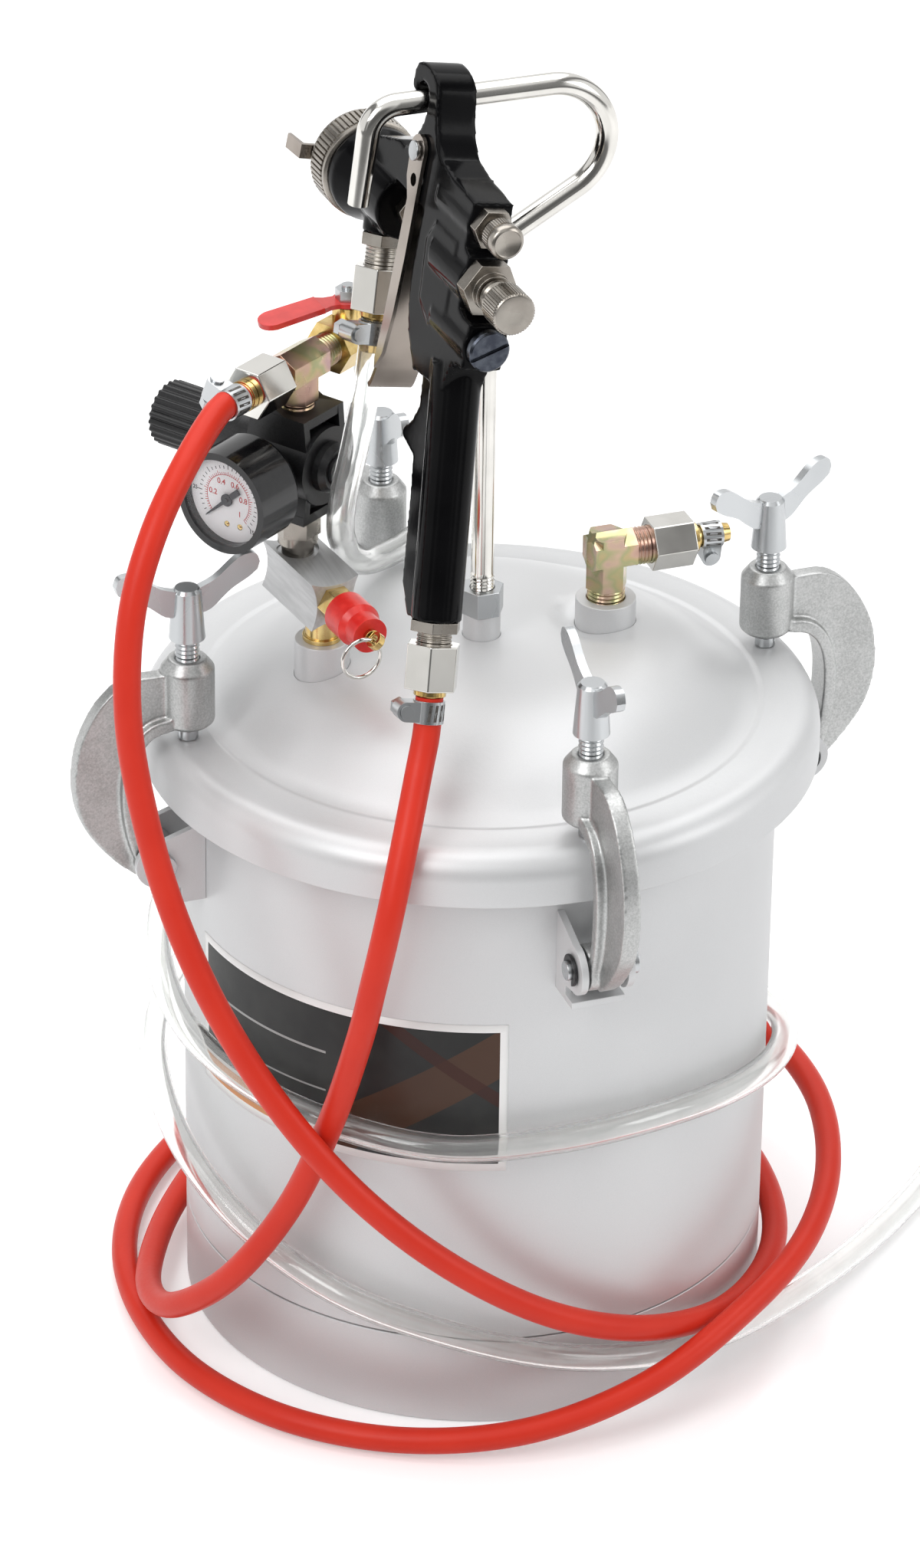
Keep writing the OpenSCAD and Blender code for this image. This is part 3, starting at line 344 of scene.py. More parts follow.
block = Finish("drawn_aluminium", Metallic=0.6)
drawn = block.noise(500, 3.0, (1, 0.04, 1))
block.shade(drawn, (0.50, 0.505, 0.51), (0.60, 0.605, 0.61), (0.42, 0.10))
block.bump(drawn, 0.00005, 0.35)

moulded = Finish("moulded_black", Specular_IOR_Level=0.4)
grain = moulded.noise(1500)
moulded.shade(grain, (0.006, 0.006, 0.0065), (0.014, 0.014, 0.015), (0.28, 0.14))
moulded.bump(grain, 0.00008, 0.3)

bezel = Finish("gloss_black")
bezel.shade(bezel.noise(400, 2.0), (0.005, 0.005, 0.006), (0.011, 0.011, 0.012), (0.10, 0.08))

enamel = Finish("black_enamel", Specular_IOR_Level=0.07)
peel = enamel.noise(260, 2.0)
enamel.shade(enamel.noise(30), (0.002, 0.002, 0.0024), (0.005, 0.005, 0.0055))
enamel.feed(Roughness=0.10 + 0.08 * peel)
enamel.bump(peel, 0.0001, 0.2)

blackened = Finish("blackened_spring_steel", Metallic=0.7)
blackened.shade(blackened.noise(500), (0.02, 0.02, 0.022), (0.06, 0.06, 0.062), (0.34, 0.14))

red_cap = Finish("red_cap_plastic")
red_cap.shade(red_cap.noise(180), (0.66, 0.018, 0.014), (0.80, 0.040, 0.030), (0.26, 0.10))

dipped = Finish("red_dipped_steel", Coat_Weight=0.3)
dipped.shade(dipped.noise(120), (0.62, 0.022, 0.018), (0.75, 0.040, 0.034), (0.32, 0.10))

red_hose = Finish("red_hose_rubber", Specular_IOR_Level=0.25)
red_hose.shade(red_hose.noise(30), (0.66, 0.032, 0.015), (0.70, 0.038, 0.018))
red_hose.feed(Roughness=0.34 + 0.14 * red_hose.noise(600, 2.0))
red_hose.bump(red_hose.noise(800, 2.0), 0.00008, 0.25)

seal = Finish("seal_rubber", Roughness=0.7)
seal.shade(seal.noise(900, 2.0), (0.012, 0.012, 0.012), (0.03, 0.03, 0.03))

PRINT_SPAN = (0.2, 0.8)
ink_red = Finish("red_print", Roughness=0.6)
ink_red.shade(ink_red.noise(3000, 2.0), (0.44, 0.012, 0.016), (0.54, 0.020, 0.026), span=PRINT_SPAN)
ink_black = Finish("black_print", Roughness=0.6)
ink_black.shade(ink_black.noise(3000, 2.0), (0.010, 0.012, 0.018), (0.022, 0.026, 0.036), span=PRINT_SPAN)
dial_white = Finish("dial_white", Roughness=0.5)
dial_white.shade(dial_white.noise(2000, 2.0), (0.84, 0.85, 0.87), (0.89, 0.90, 0.91), span=PRINT_SPAN)

lens_glass = Finish("gauge_glass", Base_Color=colour(0.95, 0.97, 0.97), Roughness=0.03, IOR=1.45)
lens_glass.feed(Alpha=0.03 + 0.02 * lens_glass.noise(80, 2.0))

clear = Finish("clear_tube", IOR=1.42, Transmission_Weight=0.94)
clear.shade(clear.noise(70), (0.92, 0.925, 0.915), (0.97, 0.975, 0.965), (0.05, 0.04))
print(len(bpy.data.materials), "materials")

# %% [markdown]
# ## CAD pieces with broken edges
# A machined or pressed piece never has a perfectly sharp edge: the thin light line along it is what
# makes it look real. The CAD meshes are loose triangles and stay untouched, so each visible node
# gets a merged copy whose flat faces are joined again and whose edges carry a small live bevel.

# %% Merged copies
MERGE_WITHIN = 2e-6
SHARP = math.radians(32)


def merged(node, name, flat):
    """A new object with the node's mesh, doubles merged and faces within flat degrees joined."""
    mesh = nodes[node].data.copy()
    split_normals = mesh.attributes.get("custom_normal")
    if split_normals is not None:
        mesh.attributes.remove(split_normals)
    work = bmesh.new()
    work.from_mesh(mesh)
    bmesh.ops.remove_doubles(work, verts=work.verts, dist=MERGE_WITHIN)
    bmesh.ops.dissolve_limit(work, angle_limit=math.radians(flat), verts=work.verts, edges=work.edges)
    work.to_mesh(mesh)
    work.free()
    mesh.name = name
    mesh.materials.clear()
    obj = bpy.data.objects.new(name, mesh)
    scene.collection.objects.link(obj)
    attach(obj, nodes[node]["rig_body"])
    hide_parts(node)
    return obj


def dressed(node, finish, edge):
    """Merged copy with a bevel of edge millimetres on every sharp edge. Gives back its mesh."""
    obj = merged(node, node + "_finished", 1.0)
    obj.data.materials.append(finish.mat)
    obj.data.polygons.foreach_set("use_smooth", np.ones(len(obj.data.polygons), bool))
    obj.data.set_sharp_from_angle(angle=SHARP)
    bevel = obj.modifiers.new("broken_edge", "BEVEL")
    bevel.width, bevel.segments = edge * MM, 2
    bevel.limit_method, bevel.angle_limit = "ANGLE", SHARP
    bevel.use_clamp_overlap = True
    bevel.harden_normals = True
    return obj.data


SIDES = ("right", "back", "left", "front")
FINISHES = [
    (silver, 0.5, ["tank_shell", "base_skirt", "lid", "lid_ports", "clamp_brackets"]),
    (zinc, 0.35, ["clamp_pins", "handle_nut", "valve_stem", "trigger_pin", "hose_clamps"]
     + ["clamp_screw_" + s for s in SIDES] + ["clamp_foot_" + s for s in SIDES]),
    (nickel, 0.5, ["hose_union_nuts"]),
    (pressed, 0.3, ["trigger", "air_cap"]),
    (satin, 0.5, ["gun_fittings", "regulator_swivel"]),
    (dark, 0.3, ["air_valve_plug"]),
    (rainbow, 0.3, ["outlet_elbow", "air_tee"]),
    (brass, 0.25, ["hose_barbs", "port_nipple", "safety_valve_body", "safety_valve_stem",
                   "ball_valve_body"]),
    (block, 0.5, ["manifold_block"]),
    (moulded, 0.5, ["regulator_body", "regulator_plug", "regulator_bonnet", "regulator_knob"]),
    (bezel, 0.5, ["gauge_case"]),
    (red_cap, 0.6, ["safety_valve_cap"]),
    (dipped, 0.6, ["valve_lever"]),
    (ink_black, 0.1, ["gauge_pointer"]),
    (dial_white, 0.1, ["gauge_dial"]),
]
finished = {name: dressed(name, finish, edge) for finish, edge, names in FINISHES for name in names}
print(len(finished), "dressed copies")

# the spring clips on the clamp pins are a narrow band across each pin, so they are found by place
CLIP_ACROSS, CLIP_HALF = -12.4, 0.75
pins = finished["clamp_pins"]
pins.materials.append(blackened.mat)
middle = np.empty(len(pins.polygons) * 3)
pins.polygons.foreach_get("center", middle)
middle = middle.reshape(-1, 3) / MM
quarter = np.radians(90 * np.round(np.degrees(np.arctan2(middle[:, 1], middle[:, 0])) / 90))
sideways = middle[:, 1] * np.cos(quarter) - middle[:, 0] * np.sin(quarter)
pins.polygons.foreach_set("material_index", (np.abs(sideways - CLIP_ACROSS) < CLIP_HALF).astype(np.int32))

for name, finish in {"lid_gasket": seal, "pickup_tube": zinc, "fluid_nozzle": nickel, "pull_ring": nickel,
                     "fluid_needle": nickel, "air_valve_stem": nickel, "gauge_lens": lens_glass}.items():
    nodes[name].data.materials.clear()
    nodes[name].data.materials.append(finish.mat)

# %% [markdown]
# The lid is pressed flat round the outlet, which leaves a soft crescent on the dome's side of it. A
# bump could only shade that, so points of the mesh are lowered. A few large faces can't take a small
# hollow, so the long edges near the seat are split first.

# %% Pressed seat of the outlet
OUTLET, SEAT_R, SEAT_RIM, SEAT_DEPTH, LID_LOW = 54.0, 15.5, 25.0, 4.2, 270.0
lid = finished["lid"]
seat = Vector((OUTLET * MM, 0))
work = bmesh.new()
work.from_mesh(lid)
for longest in (6, 3):
    near = [e for e in work.edges if e.calc_length() > longest * MM
            and min((v.co.xy - seat).length for v in e.verts) < 1.5 * SEAT_RIM * MM
            and min(v.co.z for v in e.verts) > LID_LOW * MM]
    bmesh.ops.subdivide_edges(work, edges=near, cuts=2)
    bmesh.ops.triangulate(work, faces=[f for f in work.faces if len(f.verts) > 4])
work.to_mesh(lid)
work.free()
spots = np.empty(len(lid.vertices) * 3)
lid.vertices.foreach_get("co", spots)
spots = spots.reshape(-1, 3)
away = spots[:, :2] / MM - (OUTLET, 0)
reach = np.linalg.norm(away, axis=1)
fall = np.clip((SEAT_RIM - reach) / (SEAT_RIM - SEAT_R), 0, 1) * (spots[:, 2] > LID_LOW * MM)
uphill = 0.5 - 0.5 * away[:, 0] / np.maximum(reach, 1)
spots[:, 2] -= SEAT_DEPTH * MM * fall ** 2 * (3 - 2 * fall) * uphill ** 2
lid.vertices.foreach_set("co", spots.ravel())
lid.update()
print("lid", len(spots), "points,", np.count_nonzero(fall), "in the seat")

# %% [markdown]
# The gun's body is a casting and the clamp arms are forgings: every edge on them is round and runs
# into the next. A bevel can't do that across so many joined shapes, so the merged copy is remeshed
# into small even faces and smoothed, which rounds edges and fills corners alike.

# %% Castings and forgings
def cast(node, finish, voxel, passes):
    """Merged copy, remeshed at voxel millimetres and relaxed by that many smoothing passes."""
    obj = merged(node, node + "_cast", 0.2)
    for kind, settings in (("REMESH", {"mode": "VOXEL", "voxel_size": voxel * MM}),
                           ("SMOOTH", {"factor": 0.5, "iterations": passes})):
        step = obj.modifiers.new(kind.lower(), kind)
        for key, value in settings.items():
            setattr(step, key, value)
    ready = bpy.data.meshes.new_from_object(obj.evaluated_get(bpy.context.evaluated_depsgraph_get()))
    obj.modifiers.clear()
    obj.data = ready
    ready.materials.clear()
    ready.materials.append(finish.mat)
    ready.polygons.foreach_set("use_smooth", np.ones(len(ready.polygons), bool))
    print(node, len(ready.polygons), "faces")


cast("gun_body", enamel, 0.8, 4)
for side in SIDES:
    cast("clamp_arm_" + side, forged, 0.7, 4)

# %% [markdown]
# ## Hoses and rod
# A hose is a circle carried along a curve. The curve passes through the same listed points as the
# CAD solid; between them it is a Catmull-Rom spline. The circle's frame is carried along without
# twist, so the skin doesn't wring itself.

# %% Sweeps on numpy grids
def catmull_rom(points, step):
    """Points about step apart: p(t) = (2b + (c-a)t + (2a-5b+4c-d)t^2 + (3b-a-3c+d)t^3) / 2."""
    p = np.asarray(points, float)
    a, b, c, d = (p[np.clip(np.arange(len(p) - 1) + k, 0, len(p) - 1)] for k in (-1, 0, 1, 2))
    out = []
    for n in range(len(b)):
        t = np.arange(0, 1, 1 / max(1, round(np.linalg.norm(c[n] - b[n]) / step)))[:, None]
        out.append(0.5 * (2 * b[n] + (c[n] - a[n]) * t + (2 * a[n] - 5 * b[n] + 4 * c[n] - d[n]) * t ** 2
                          + (3 * b[n] - a[n] - 3 * c[n] + d[n]) * t ** 3))
    return np.vstack(out + [p[-1:]])


def carried_frames(path):
    """Two unit normals for each point of a path, each ring's turned from the last with no twist."""
    tangent = np.gradient(path, axis=0)
    tangent /= np.linalg.norm(tangent, axis=1, keepdims=True)
    normal = np.empty_like(path)
    last = np.array([0.3, 1, 0.2])
    for n, t in enumerate(tangent):
        last = last - last.dot(t) * t
        last /= np.linalg.norm(last)
        normal[n] = last
    return normal, np.cross(tangent, normal)


SMOOTH_UNDER = math.radians(40)


def piece(name, mesh, body, finish):
    """An object at the origin with this mesh and finish, smooth but for its sharp edges."""
    mesh.polygons.foreach_set("use_smooth", np.ones(len(mesh.polygons), bool))
    mesh.set_sharp_from_angle(angle=SMOOTH_UNDER)
    mesh.materials.append(finish.mat)
    obj = bpy.data.objects.new(name, mesh)
    scene.collection.objects.link(obj)
    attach(obj, body)
    return obj


def skin(name, grid, body, finish, loop=False):
    """A mesh from a grid of rings, shape (rings, sides, 3) in millimetres, closed round its sides.
    With loop the last ring joins the first; otherwise both end rings are filled."""
    rings, sides, _ = grid.shape
    index = np.arange(rings * sides).reshape(rings, sides)
    turn = np.roll(index, -1, axis=1)
    last = rings if loop else rings - 1
    ahead, ahead_turn = np.roll(index, -1, axis=0), np.roll(turn, -1, axis=0)
    faces = np.stack([index, turn, ahead_turn, ahead], axis=-1)[:last].reshape(-1, 4).tolist()
    if not loop:
        faces += [index[0][::-1].tolist(), index[-1].tolist()]
    mesh = bpy.data.meshes.new(name)
    mesh.from_pydata((grid.reshape(-1, 3) * MM).tolist(), [], faces)
    work = bmesh.new()
    work.from_mesh(mesh)
    bmesh.ops.recalc_face_normals(work, faces=work.faces)
    work.to_mesh(mesh)
    work.free()
    return piece(name, mesh, body, finish)


def tube(path, radius, sides=24):
    """Rings of a tube: centre + radius (cos a, sin a) in the carried frame. Radius is one number, or
    one for each ring and angle."""
    normal, side = carried_frames(path)
    a = np.linspace(0, 2 * np.pi, sides, endpoint=False)
    r = np.broadcast_to(radius, (len(path), sides))
    return path[:, None] + r[..., None] * (np.cos(a)[None, :, None] * normal[:, None]
                                           + np.sin(a)[None, :, None] * side[:, None])


def run_length(path):
    """Length of a path: the sum of its steps."""
    return float(np.linalg.norm(np.diff(path, axis=0), axis=1).sum())


# %% The two hoses
def around(turns):
    """Points round the tank from (bearing, radius, height): (r cos b, r sin b, h)."""
    bearing, radius, height = np.array(turns, float).T
    a = np.radians(bearing)
    return np.stack([radius * np.cos(a), radius * np.sin(a), height], axis=1)


AIR_DROP = [
    (-101.6, 1.5, 427), (-114, -7, 426.5), (-134, -25.5, 414), (-151, -39.5, 394.5), (-163, -49.5, 368),
    (-168, -57, 335), (-166.5, -63.5, 300), (-158, -74.5, 252), (-143.5, -89.5, 207), (-122, -107, 165),
    (-94, -123, 127), (-59, -134.5, 93.5), (-18.5, -139, 65)]
AIR_TURNS = [
    (280, 136, 45), (300, 132.5, 31), (320, 130.5, 25.5), (340, 129.5, 23), (360, 129.5, 24),
    (380, 133, 25), (400, 138.5, 24), (420, 144.5, 20), (440, 149.5, 14.5), (460, 152, 10.5), (480, 153, 8),
    (500, 151, 6.5), (520, 149.5, 5.8), (540, 149, 5.8), (560, 150.5, 5.8), (580, 150.5, 6), (600, 148, 7),
    (620, 147, 12.5), (640, 146.5, 24), (660, 146, 37.5), (680, 148.5, 45), (700, 151.5, 51),
    (720, 156, 56.5), (740, 159, 59), (760, 157.5, 55), (780, 154, 46), (800, 148.5, 35.5),
    (820, 140.5, 26), (840, 132.5, 18), (860, 129.5, 13.5), (880, 134, 13), (900, 145.5, 18.5)]
AIR_RISE = [
    (-147, -38, 32), (-133, -72, 64), (-114.5, -92.5, 106), (-101.5, -107, 152), (-94.5, -122.5, 199),
    (-90.5, -128.5, 228), (-84.5, -129, 256.5), (-75, -119.5, 283), (-63.5, -104, 307.5),
    (-58.5, -98, 320.5), (-55.9, -94, 334.3)]
FLUID_DROP = [
    (-40.2, 18.2, 445), (-42.5, 16, 431.5), (-46.5, 10.5, 419), (-51.5, 3.5, 408.5), (-56.5, -2.5, 396.5),
    (-60.5, -5, 384), (-61, -1.5, 371.5), (-59, 5.5, 360), (-55, 15, 350), (-45.5, 34, 332),
    (-31.5, 53, 317.5), (-10, 75.5, 308.5), (8, 94, 304.5), (25, 114, 298), (38, 133, 287.5),
    (45.5, 148, 268), (47, 153, 246), (41, 152, 222), (26, 147, 202), (5, 140, 189.5), (-16, 136, 183.5)]
FLUID_TURNS = [
    (106, 133, 181), (125, 129.5, 179), (145, 131.5, 175.5), (165, 134, 166), (185, 133.5, 153.5),
    (205, 131, 146), (225, 130, 142), (245, 131, 139.5), (265, 130, 141.5), (285, 129.5, 141),
    (305, 130, 135.5), (325, 130, 126), (345, 130.5, 115), (365, 129.5, 105), (385, 129.5, 100.5),
    (405, 129.5, 101.5), (425, 130, 106.5), (445, 130.5, 112.5), (465, 131, 118), (485, 132.5, 121),
    (505, 134.5, 119.5), (525, 136, 112), (545, 135, 95.5), (565, 132.5, 77), (585, 130.5, 61),
    (605, 129.5, 49), (625, 130, 36), (645, 129.5, 24), (660, 130, 18)]
FLUID_TAIL = [
    (88.5, -100.5, 14), (130.5, -74, 9), (171, -44.5, 6.5), (208, -12, 6), (240, 24, 6), (266, 66, 6)]
AIR_ROUTE = np.vstack([AIR_DROP, around(AIR_TURNS), AIR_RISE])
FLUID_ROUTE = np.vstack([FLUID_DROP, around(FLUID_TURNS), FLUID_TAIL])
AIR_R, FLUID_R, FLUID_BORE = 5.5, 5.75, 4.0
HOSE_STEP = 4


def hose(node, route, radius, bore, finish):
    """A tube along the route. With a bore, an inner skin runs back through it and closes the loop."""
    line = catmull_rom(route, HOSE_STEP)
    rings = tube(line, radius)
    if bore:
        rings = np.concatenate([rings, tube(line, bore)[::-1]])
    obj = skin(node + "_skin", rings, "pot", finish, loop=bore > 0)
    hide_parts(node)
    print(node, round(run_length(line)), "mm")


hose("air_hose", AIR_ROUTE, AIR_R, 0, red_hose)
hose("fluid_hose", FLUID_ROUTE, FLUID_R, FLUID_BORE, clear)

# %% [markdown]
# The handle is one plated rod with three bends and a screw thread at its foot. The thread is cut
# into the radius: it falls and rises once for each pitch, and a turn of the angle shifts it by one.

# %% Handle rod
ROD_R, ROD_SIDES, ROD_BREAK = 4.65, 32, 0.5
THREAD_R, THREAD_CUT, PITCH, THREAD_RINGS = 5.0, 0.6, 1.5, 160
THREAD_LO, THREAD_HI, SHANK_MID, BAR = 295.0, 333.0, 400.0, 544.0


def bend(x, z, r, start, stop):
    """Points of an arc in the XZ plane, every four degrees."""
    a = np.radians(np.linspace(start, stop, int(abs(stop - start) / 4) + 2))
    return np.stack([x + r * np.cos(a), 0 * a, z + r * np.sin(a)], axis=1)


foot = np.linspace(THREAD_LO, THREAD_HI, THREAD_RINGS)
foot = np.stack([0 * foot, 0 * foot, foot], axis=1)
shank = np.vstack([[[0, 0, THREAD_HI + 1.5], [0, 0, SHANK_MID]], bend(20, BAR - 78, 20, 180, 120),
                   bend(25.5, BAR - 24, 24, -60, 90), bend(-38, BAR - 12, 12, 90, 172),
                   [[-54.0, 0, BAR - 40.0]]])
rod_line = np.vstack([foot, shank])
angle = np.linspace(0, 2 * np.pi, ROD_SIDES, endpoint=False)
saw = np.abs(((rod_line[:, 2:] / PITCH - angle / (2 * np.pi)) % 1) - 0.5) * 2
threaded = (np.arange(len(rod_line)) < len(foot))[:, None]
rod_radius = np.where(threaded, THREAD_R - THREAD_CUT * saw, ROD_R)
rod_radius[-1] = ROD_R - ROD_BREAK
rod = skin("handle_rod_bent", tube(rod_line, rod_radius, ROD_SIDES), "pot", nickel)
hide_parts("handle_rod")
print("handle rod", len(rod_line), "rings")

# %% [markdown]
# ## Turned and knurled pieces of the gun
# The gun hangs a little askew, so its pieces are worked out in its own frame and then carried over:
# x runs to the rear, z up. A turned piece is a profile spun about x, and straight knurling lowers
# the radius between evenly spaced ribs.

# %% Frames and turning
def spin(axis, degrees):
    """A 4 by 4 turn about x, y or z."""
    return np.array(Matrix.Rotation(math.radians(degrees), 4, axis.upper()))


def shift(x, y, z):
    """A 4 by 4 move in millimetres."""
    return np.array(Matrix.Translation((x, y, z)))


def carry(frame_matrix, points):
    """Points of any grid shape, taken through a 4 by 4 frame."""
    return points @ frame_matrix[:3, :3].T + frame_matrix[:3, 3]


GUN = shift(-20, 0, BAR) @ spin("z", 273) @ spin("x", -11)
NEEDLE, KNOB = -49.5, -27.5
RIB_POINTS, CUT, SLOPE = 10, 0.30, 0.30


def knurled(node, profile, axis_z, ribs, depth, band, loop=False):
    """Profile points (x, r) spun about x: (x, r cos a, r sin a). In the band, r falls by depth
    between the ribs: a square cut with sloped sides, where |sin(ribs a / 2)| is under 0.3 to 0.6."""
    x, r = np.array(profile, float).T
    a = np.linspace(0, 2 * np.pi, ribs * RIB_POINTS, endpoint=False)
    groove = depth * (1 - np.clip((np.abs(np.sin(ribs * a / 2)) - CUT) / SLOPE, 0, 1))
    inside = ((x >= band[0]) & (x <= band[1])).astype(float)
    radius = r[:, None] - inside[:, None] * groove[None]
    grid = np.stack([np.broadcast_to(x[:, None], radius.shape), radius * np.cos(a), radius * np.sin(a)], -1)
    obj = skin(node + "_knurled", carry(GUN @ shift(0, 0, axis_z), grid), node, satin, loop)
    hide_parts(node)
    print(obj.name, len(obj.data.polygons), "faces")


knurled("fluid_knob",
        [(57.6, 0.01), (57.6, 4.95), (77.9, 4.95), (77.9, 6.0), (78.4, 6.6), (80.2, 6.6), (80.7, 6.1),
         (81.6, 5.2), (82.8, 4.9), (83.9, 5.4), (84.5, 6.6), (84.8, 8.0), (85.4, 8.5), (85.5, 8.75),
         (96.1, 8.75), (96.2, 8.4), (96.9, 7.9), (97.0, 7.4), (96.8, 4.0), (96.75, 0.01)],
        NEEDLE, 46, 0.45, (85.45, 96.15))
knurled("pattern_knob",
        [(53.1, 0.01), (53.1, 3.35), (67.3, 3.35), (67.4, 4.9), (69.8, 4.9), (70.0, 6.2), (70.4, 6.7),
         (70.5, 6.9), (75.0, 6.9), (75.1, 6.3), (75.6, 6.1), (76.1, 6.9), (76.4, 7.0), (78.7, 7.0),
         (79.6, 6.4), (80.0, 5.5), (79.7, 4.9), (79.5, 0.01)],
        KNOB, 40, 0.4, (70.45, 75.05))
knurled("cap_ring",
        [(-47.6, 17.4), (-47.6, 20.1), (-48.1, 20.7), (-49.8, 20.7), (-50.2, 20.2), (-50.6, 20.2),
         (-50.9, 20.95), (-61.4, 20.95), (-61.7, 20.5), (-62.7, 20.3), (-63.5, 19.4), (-63.55, 15.5),
         (-61.6, 15.5), (-61.6, 17.4)],
        NEEDLE, 60, 1.1, (-61.5, -50.8), loop=True)

# %% [markdown]
# ## The gauge's print
# The dial is a white disc with two printed scales, a red one inside and a black one outside, with
# plain numbers. Ticks are thin plates laid on the disc; the numbers are text turned into a mesh.

# %% Dial
REGULATOR = shift(-71.56, 21.79, 0) @ spin("z", 34)
GAUGE = REGULATOR @ shift(0, 0, 385.5) @ spin("z", 180)
PRINT_X, PRINT_T, ZERO, SWEEP = 45.12, 0.02, 222.0, 264.0


def printed(name, quads, finish):
    """Thin plates from quads on the dial, shape (n, 4, 2) in y and z millimetres, PRINT_T thick."""
    n = len(quads)
    face = np.concatenate([np.full((n, 4, 1), PRINT_X), quads], -1)
    lower, upper = face.reshape(-1, 3), face.reshape(-1, 3) + (PRINT_T, 0, 0)
    k = np.arange(n)[:, None] * 4
    top, low = k + np.arange(4) + 4 * n, k + np.arange(4)[::-1]
    walls = [np.concatenate([k + i, k + (i + 1) % 4, k + (i + 1) % 4 + 4 * n, k + i + 4 * n], 1)
             for i in range(4)]
    mesh = bpy.data.meshes.new(name)
    mesh.from_pydata((carry(GAUGE, np.vstack([lower, upper])) * MM).tolist(), [],
                     np.vstack([top, low, *walls]).tolist())
    return piece(name, mesh, "pot", finish)


def ticks(share, inner, outer, width):
    """Radial bars at shares 0 to 1 of the scale: from inner to outer radius, width across."""
    a = np.radians(ZERO - SWEEP * np.asarray(share, float))
    out = np.stack([np.cos(a), np.sin(a)], -1)
    side = np.stack([-np.sin(a), np.cos(a)], -1) * width / 2
    inner, outer = (np.broadcast_to(v, a.shape)[:, None] for v in (inner, outer))
    return np.stack([inner * out - side, inner * out + side, outer * out + side, outer * out - side], 1)


fine = np.arange(0, 51) / 50
fine_outer = np.where(np.arange(51) % 10 == 0, 12.3, np.where(np.arange(51) % 5 == 0, 12.0, 11.6))
red_arc = ticks(fine[:-1] + 0.01, 10.35, 10.6, 1.12)
printed("dial_scale_red", np.concatenate([ticks(fine, 10.5, fine_outer, 0.28), red_arc]), ink_red)
coarse = np.arange(0, 31) / 30
coarse_outer = np.where(np.arange(31) % 5 == 0, 15.4, 14.4)
printed("dial_scale_black", ticks(coarse, 13.1, coarse_outer, 0.34), ink_black)


def number(text, share, radius, size, finish, name):
    """A number on the dial, centred at that share of the scale and that radius."""
    data = bpy.data.curves.new(name, "FONT")
    data.body, data.size, data.extrude, data.offset = text, size, PRINT_T / 2, 0.05
    data.align_x, data.align_y = "CENTER", "CENTER"
    holder = bpy.data.objects.new(name, data)
    scene.collection.objects.link(holder)
    bpy.context.view_layer.update()
    mesh = bpy.data.meshes.new_from_object(holder.evaluated_get(bpy.context.evaluated_depsgraph_get()))
    bpy.data.objects.remove(holder)
    flat = np.empty(len(mesh.vertices) * 3)
    mesh.vertices.foreach_get("co", flat)
    flat = flat.reshape(-1, 3)
    a = math.radians(ZERO - SWEEP * share)
    at = np.stack([PRINT_X + PRINT_T / 2 + flat[:, 2], flat[:, 0] + radius * math.cos(a),
                   flat[:, 1] + radius * math.sin(a)], -1)
    mesh.vertices.foreach_set("co", (carry(GAUGE, at) * MM).ravel())
    mesh.update()
    return piece(name, mesh, "pot", finish)


for share, text in ((0.2, "0.2"), (0.4, "0.4"), (0.6, "0.6"), (0.8, "0.8"), (1.0, "1")):
    number(text, share, 7.7, 3.4, ink_red, "dial_number_red_" + text.replace(".", "_"))
for share, text in ((0.167, "25"), (0.5, "75"), (0.833, "125"), (1.0, "150")):
    number(text, share, 16.6, 2.4, ink_black, "dial_number_black_" + text)
SCREW = np.array([(45.0, 0.01), (45.0, 1.25), (45.4, 1.2), (45.7, 0.8), (45.8, 0.01)])
SCREW_PLACES = ((-0.6, -11.0), (5.9, -10.6))
a = np.linspace(0, 2 * np.pi, 24, endpoint=False)
x, r = SCREW[:, :1] + 0 * a, SCREW[:, 1:] + 0 * a
for k, (y, z) in enumerate(SCREW_PLACES, 1):
    skin(f"dial_screw_{k}", carry(GAUGE, np.stack([x, y + r * np.cos(a), z + r * np.sin(a)], -1)),
         "pot", brass)
print(len(fine) + len(coarse), "ticks")

# %% [markdown]
# ## Label
# The label is a printed foil that follows the tank's wall. It is a strip of the cylinder with its own
# UV map, 0 to 1 each way, and the print is worked out from that map: a white border, a dark panel, a
# warm slanted field at one corner and an orange tab at the other.

# %% Label
TANK_R, LABEL_GAP, FOIL_T = 122.5, 0.06, 0.1
LABEL_R = TANK_R + LABEL_GAP
LABEL_FROM, LABEL_TO, LABEL_LO, LABEL_HI = -175.4, -104.0, 124.0, 193.0
printed_label = Finish("printed_label", Specular_IOR_Level=0.25)
u, v = printed_label.plane(UV)


def between(wire, low, high):
    """1 where the wire lies between low and high, 0 elsewhere."""
    return (wire > low) * (wire < high)


border = between(u, 0.022, 0.978) * between(v, 0.050, 0.950)
tab = (v < 0.20) * (u + 0.25 * v < 0.42)
gap = (v < 0.245) * (u + 0.25 * v < 0.44)
field = between(v - 1.5 * u, -0.83, -0.50)
deep = between(v + 1.6 * u, 2.00, 2.10) * (v > 0.28)
rule = (between(v, 0.652, 0.668) + between(v, 0.394, 0.406)) * between(u, 0.06, 0.5)
ink = printed_label.noise(60, 2.0).ramp(0.3, 0.7)
ink = ink.blend(colour(0.020, 0.020, 0.020), colour(0.030, 0.030, 0.029))
ink = (0.9 * field).blend(ink, colour(0.075, 0.036, 0.021))
ink = (0.8 * deep).blend(ink, colour(0.045, 0.012, 0.008))
ink = (0.7 * rule).blend(ink, colour(0.55, 0.55, 0.54))
ink = gap.blend(ink, colour(0.80, 0.80, 0.79))
ink = tab.blend(ink, colour(0.66, 0.30, 0.12))
ink = border.blend(colour(0.92, 0.92, 0.91), ink)
printed_label.feed(Base_Color=ink, Roughness=0.30 + 0.1 * printed_label.noise(500, 2.0))

